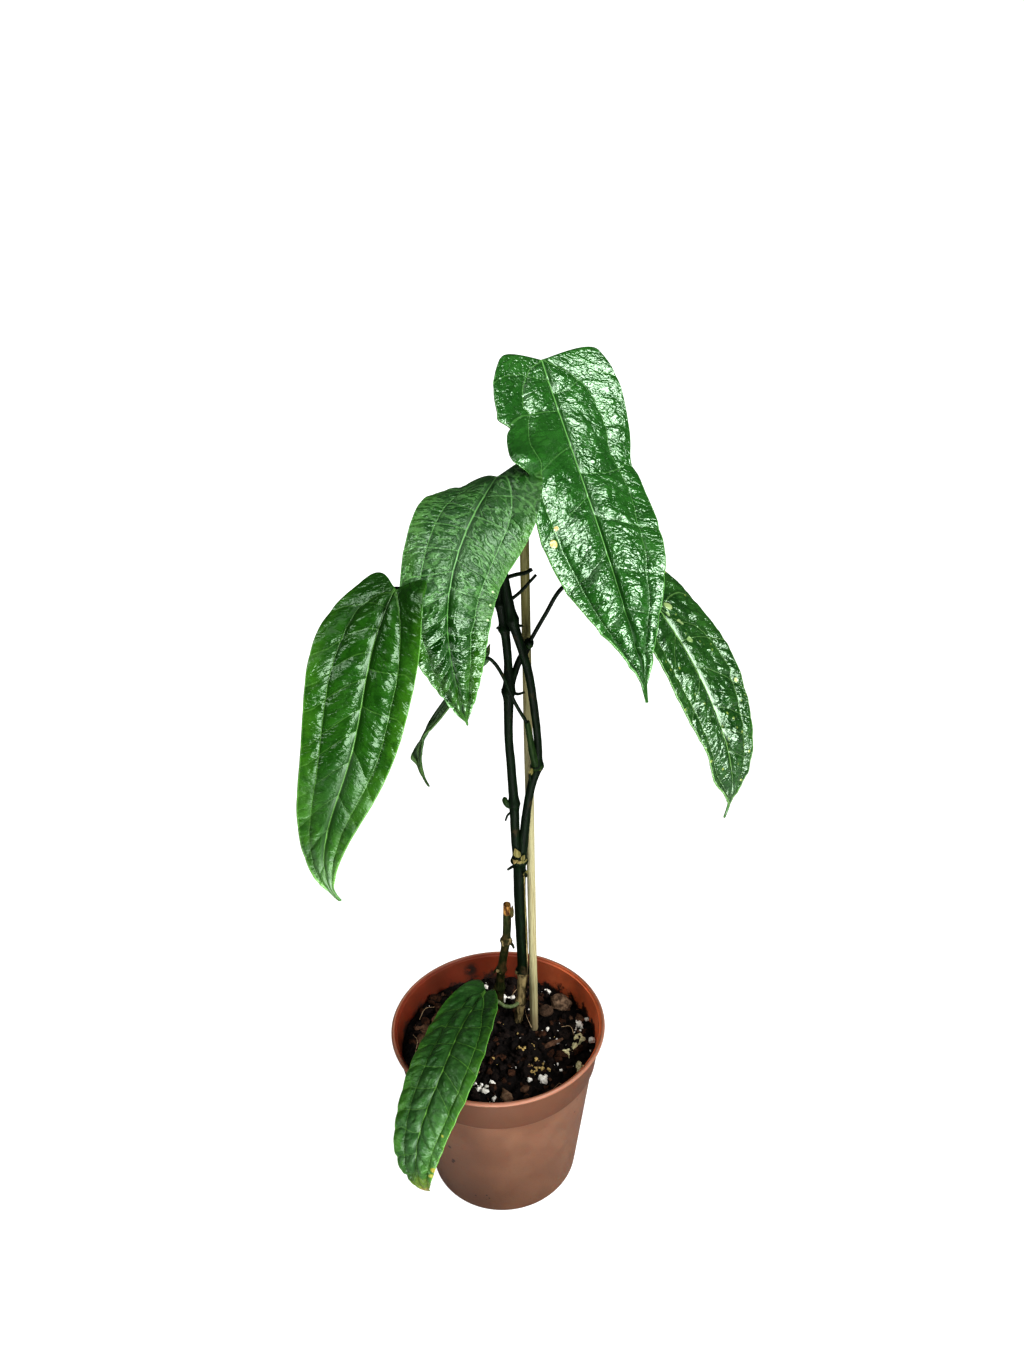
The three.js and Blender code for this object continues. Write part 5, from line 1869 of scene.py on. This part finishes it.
@dataclass
class Studio:
    """Camera, pale floor and soft lights.

    Lights are rows of name, place, aim and size, all in metres, and radiance.
    """

    eye: Point = (15, -445, 516)
    dip: float = 24.7
    lean: float = -2.14
    sensor: float = 36
    focal_share: float = 1025 / 1364
    white: Colour = (0.3, 0.3, 0.3)
    floor_size: float = 60
    floor_glow: float = 0.8
    fill: float = 0.05
    look: str = "Medium High Contrast"

    CROWN = (0.03, 0, 0.36)
    LIGHTS = (
        ("window", (1.02, -0.84, 0.92), CROWN, (1.1, 0.85), 16.5),
        ("low card", (0.03, -0.38, 0.01), (0.03, -0.38, 0.5), (0.3, 0.34), 17),
        ("left card", (-0.42, -0.36, 0.1), (0, 0, 0.06), (0.26, 0.2), 4.5),
        ("left softbox", (-0.75, -0.3, 1.4), CROWN, (0.6, 0.5), 8),
        ("top softbox", (0, 0, 1.7), CROWN, (0.8, 0.8), 1.5),
    )

    def camera(self) -> None:
        """Sets the camera at the photograph's viewpoint."""
        data = bpy.data.cameras.new("camera")
        data.sensor_width = self.sensor
        data.lens = self.sensor * self.focal_share
        item = linked("camera", data)
        bpy.context.scene.camera = item
        dip, lean = math.radians(self.dip), math.radians(self.lean)
        ahead = Vector((0, math.cos(dip), -math.sin(dip)))
        right = Vector((1, 0, 0))
        up = right.cross(ahead)
        turned = math.cos(lean) * right + math.sin(lean) * up
        raised = math.cos(lean) * up - math.sin(lean) * right
        turn = Matrix((turned, raised, -ahead)).transposed().to_quaternion()
        item.matrix_world = Matrix.LocRotScale(Vector(self.eye) * MM, turn, None)

    def floor(self) -> None:
        """Adds a wide pale floor, bright enough to run into the white behind it."""
        deselect()
        bpy.ops.mesh.primitive_plane_add(size=self.floor_size)
        item = named("studio_floor")
        g = Graph("studio floor")
        g.colour = self.white
        away = g.add("VectorMath", {0: g.place}, "Value", operation="LENGTH")
        seen = g.add("LightPath", {}, "Is Camera Ray")
        glow = away.step(0.25, 1.6, self.floor_glow, 1.1) * seen
        item.data.materials.append(g.finish(0.9, Emission_Color=(1, 1, 1), Emission_Strength=glow))

    def light(self, name: str, spot: Point, aim: Point, size: tuple[float, float], radiance: float) -> None:
        """Adds a soft rectangular light.

        Args:
            name: its name.
            spot: its place, in metres.
            aim: where it points, in metres.
            size: width and height, in metres.
            radiance: how bright its face looks.
        """
        data = bpy.data.lights.new(name, "AREA")
        data.shape = "RECTANGLE"
        data.size, data.size_y = size
        data.energy = radiance * math.pi * size[0] * size[1]
        item = linked(name, data)
        item.location = spot
        item.visible_camera = False
        item.rotation_euler = (Vector(spot) - Vector(aim)).to_track_quat("Z", "Y").to_euler()

    def world(self) -> None:
        """Sets a dim even light all round, with white behind the plant for the camera."""
        world = bpy.data.worlds.new("studio")
        bpy.context.scene.world = world
        world.use_nodes = True
        nodes, links = world.node_tree.nodes, world.node_tree.links
        nodes["Background"].inputs["Color"].default_value = (1, 1, 1, 1)
        path = nodes.new("ShaderNodeLightPath")
        level = nodes.new("ShaderNodeMapRange")
        level.inputs["To Min"].default_value = self.fill
        level.inputs["To Max"].default_value = 1.05
        links.new(path.outputs["Is Camera Ray"], level.inputs["Value"])
        links.new(level.outputs[0], nodes["Background"].inputs["Strength"])

    def build(self) -> None:
        """Sets up the whole studio."""
        self.camera()
        self.floor()
        for row in self.LIGHTS:
            self.light(*row)
        self.world()
        view = bpy.context.scene.view_settings
        view.view_transform = "Standard"
        view.look = self.look


def main() -> None:
    """Builds the whole plant in its studio."""
    logging.basicConfig(level=logging.INFO, format="%(name)s: %(message)s")
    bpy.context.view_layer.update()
    Studio().build()
    pot = Pot()
    mix = PottingMix(pot)
    pot.build(mix.level)
    mix.build()
    for lump in LUMPS:
        lump.build()
    Stake().build()
    dark, pale = Stems().build()
    for leaf in LEAVES:
        leaf.build(pale if leaf.name == "leaf_low" else dark)
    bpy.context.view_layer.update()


if __name__ == "__main__":
    main()
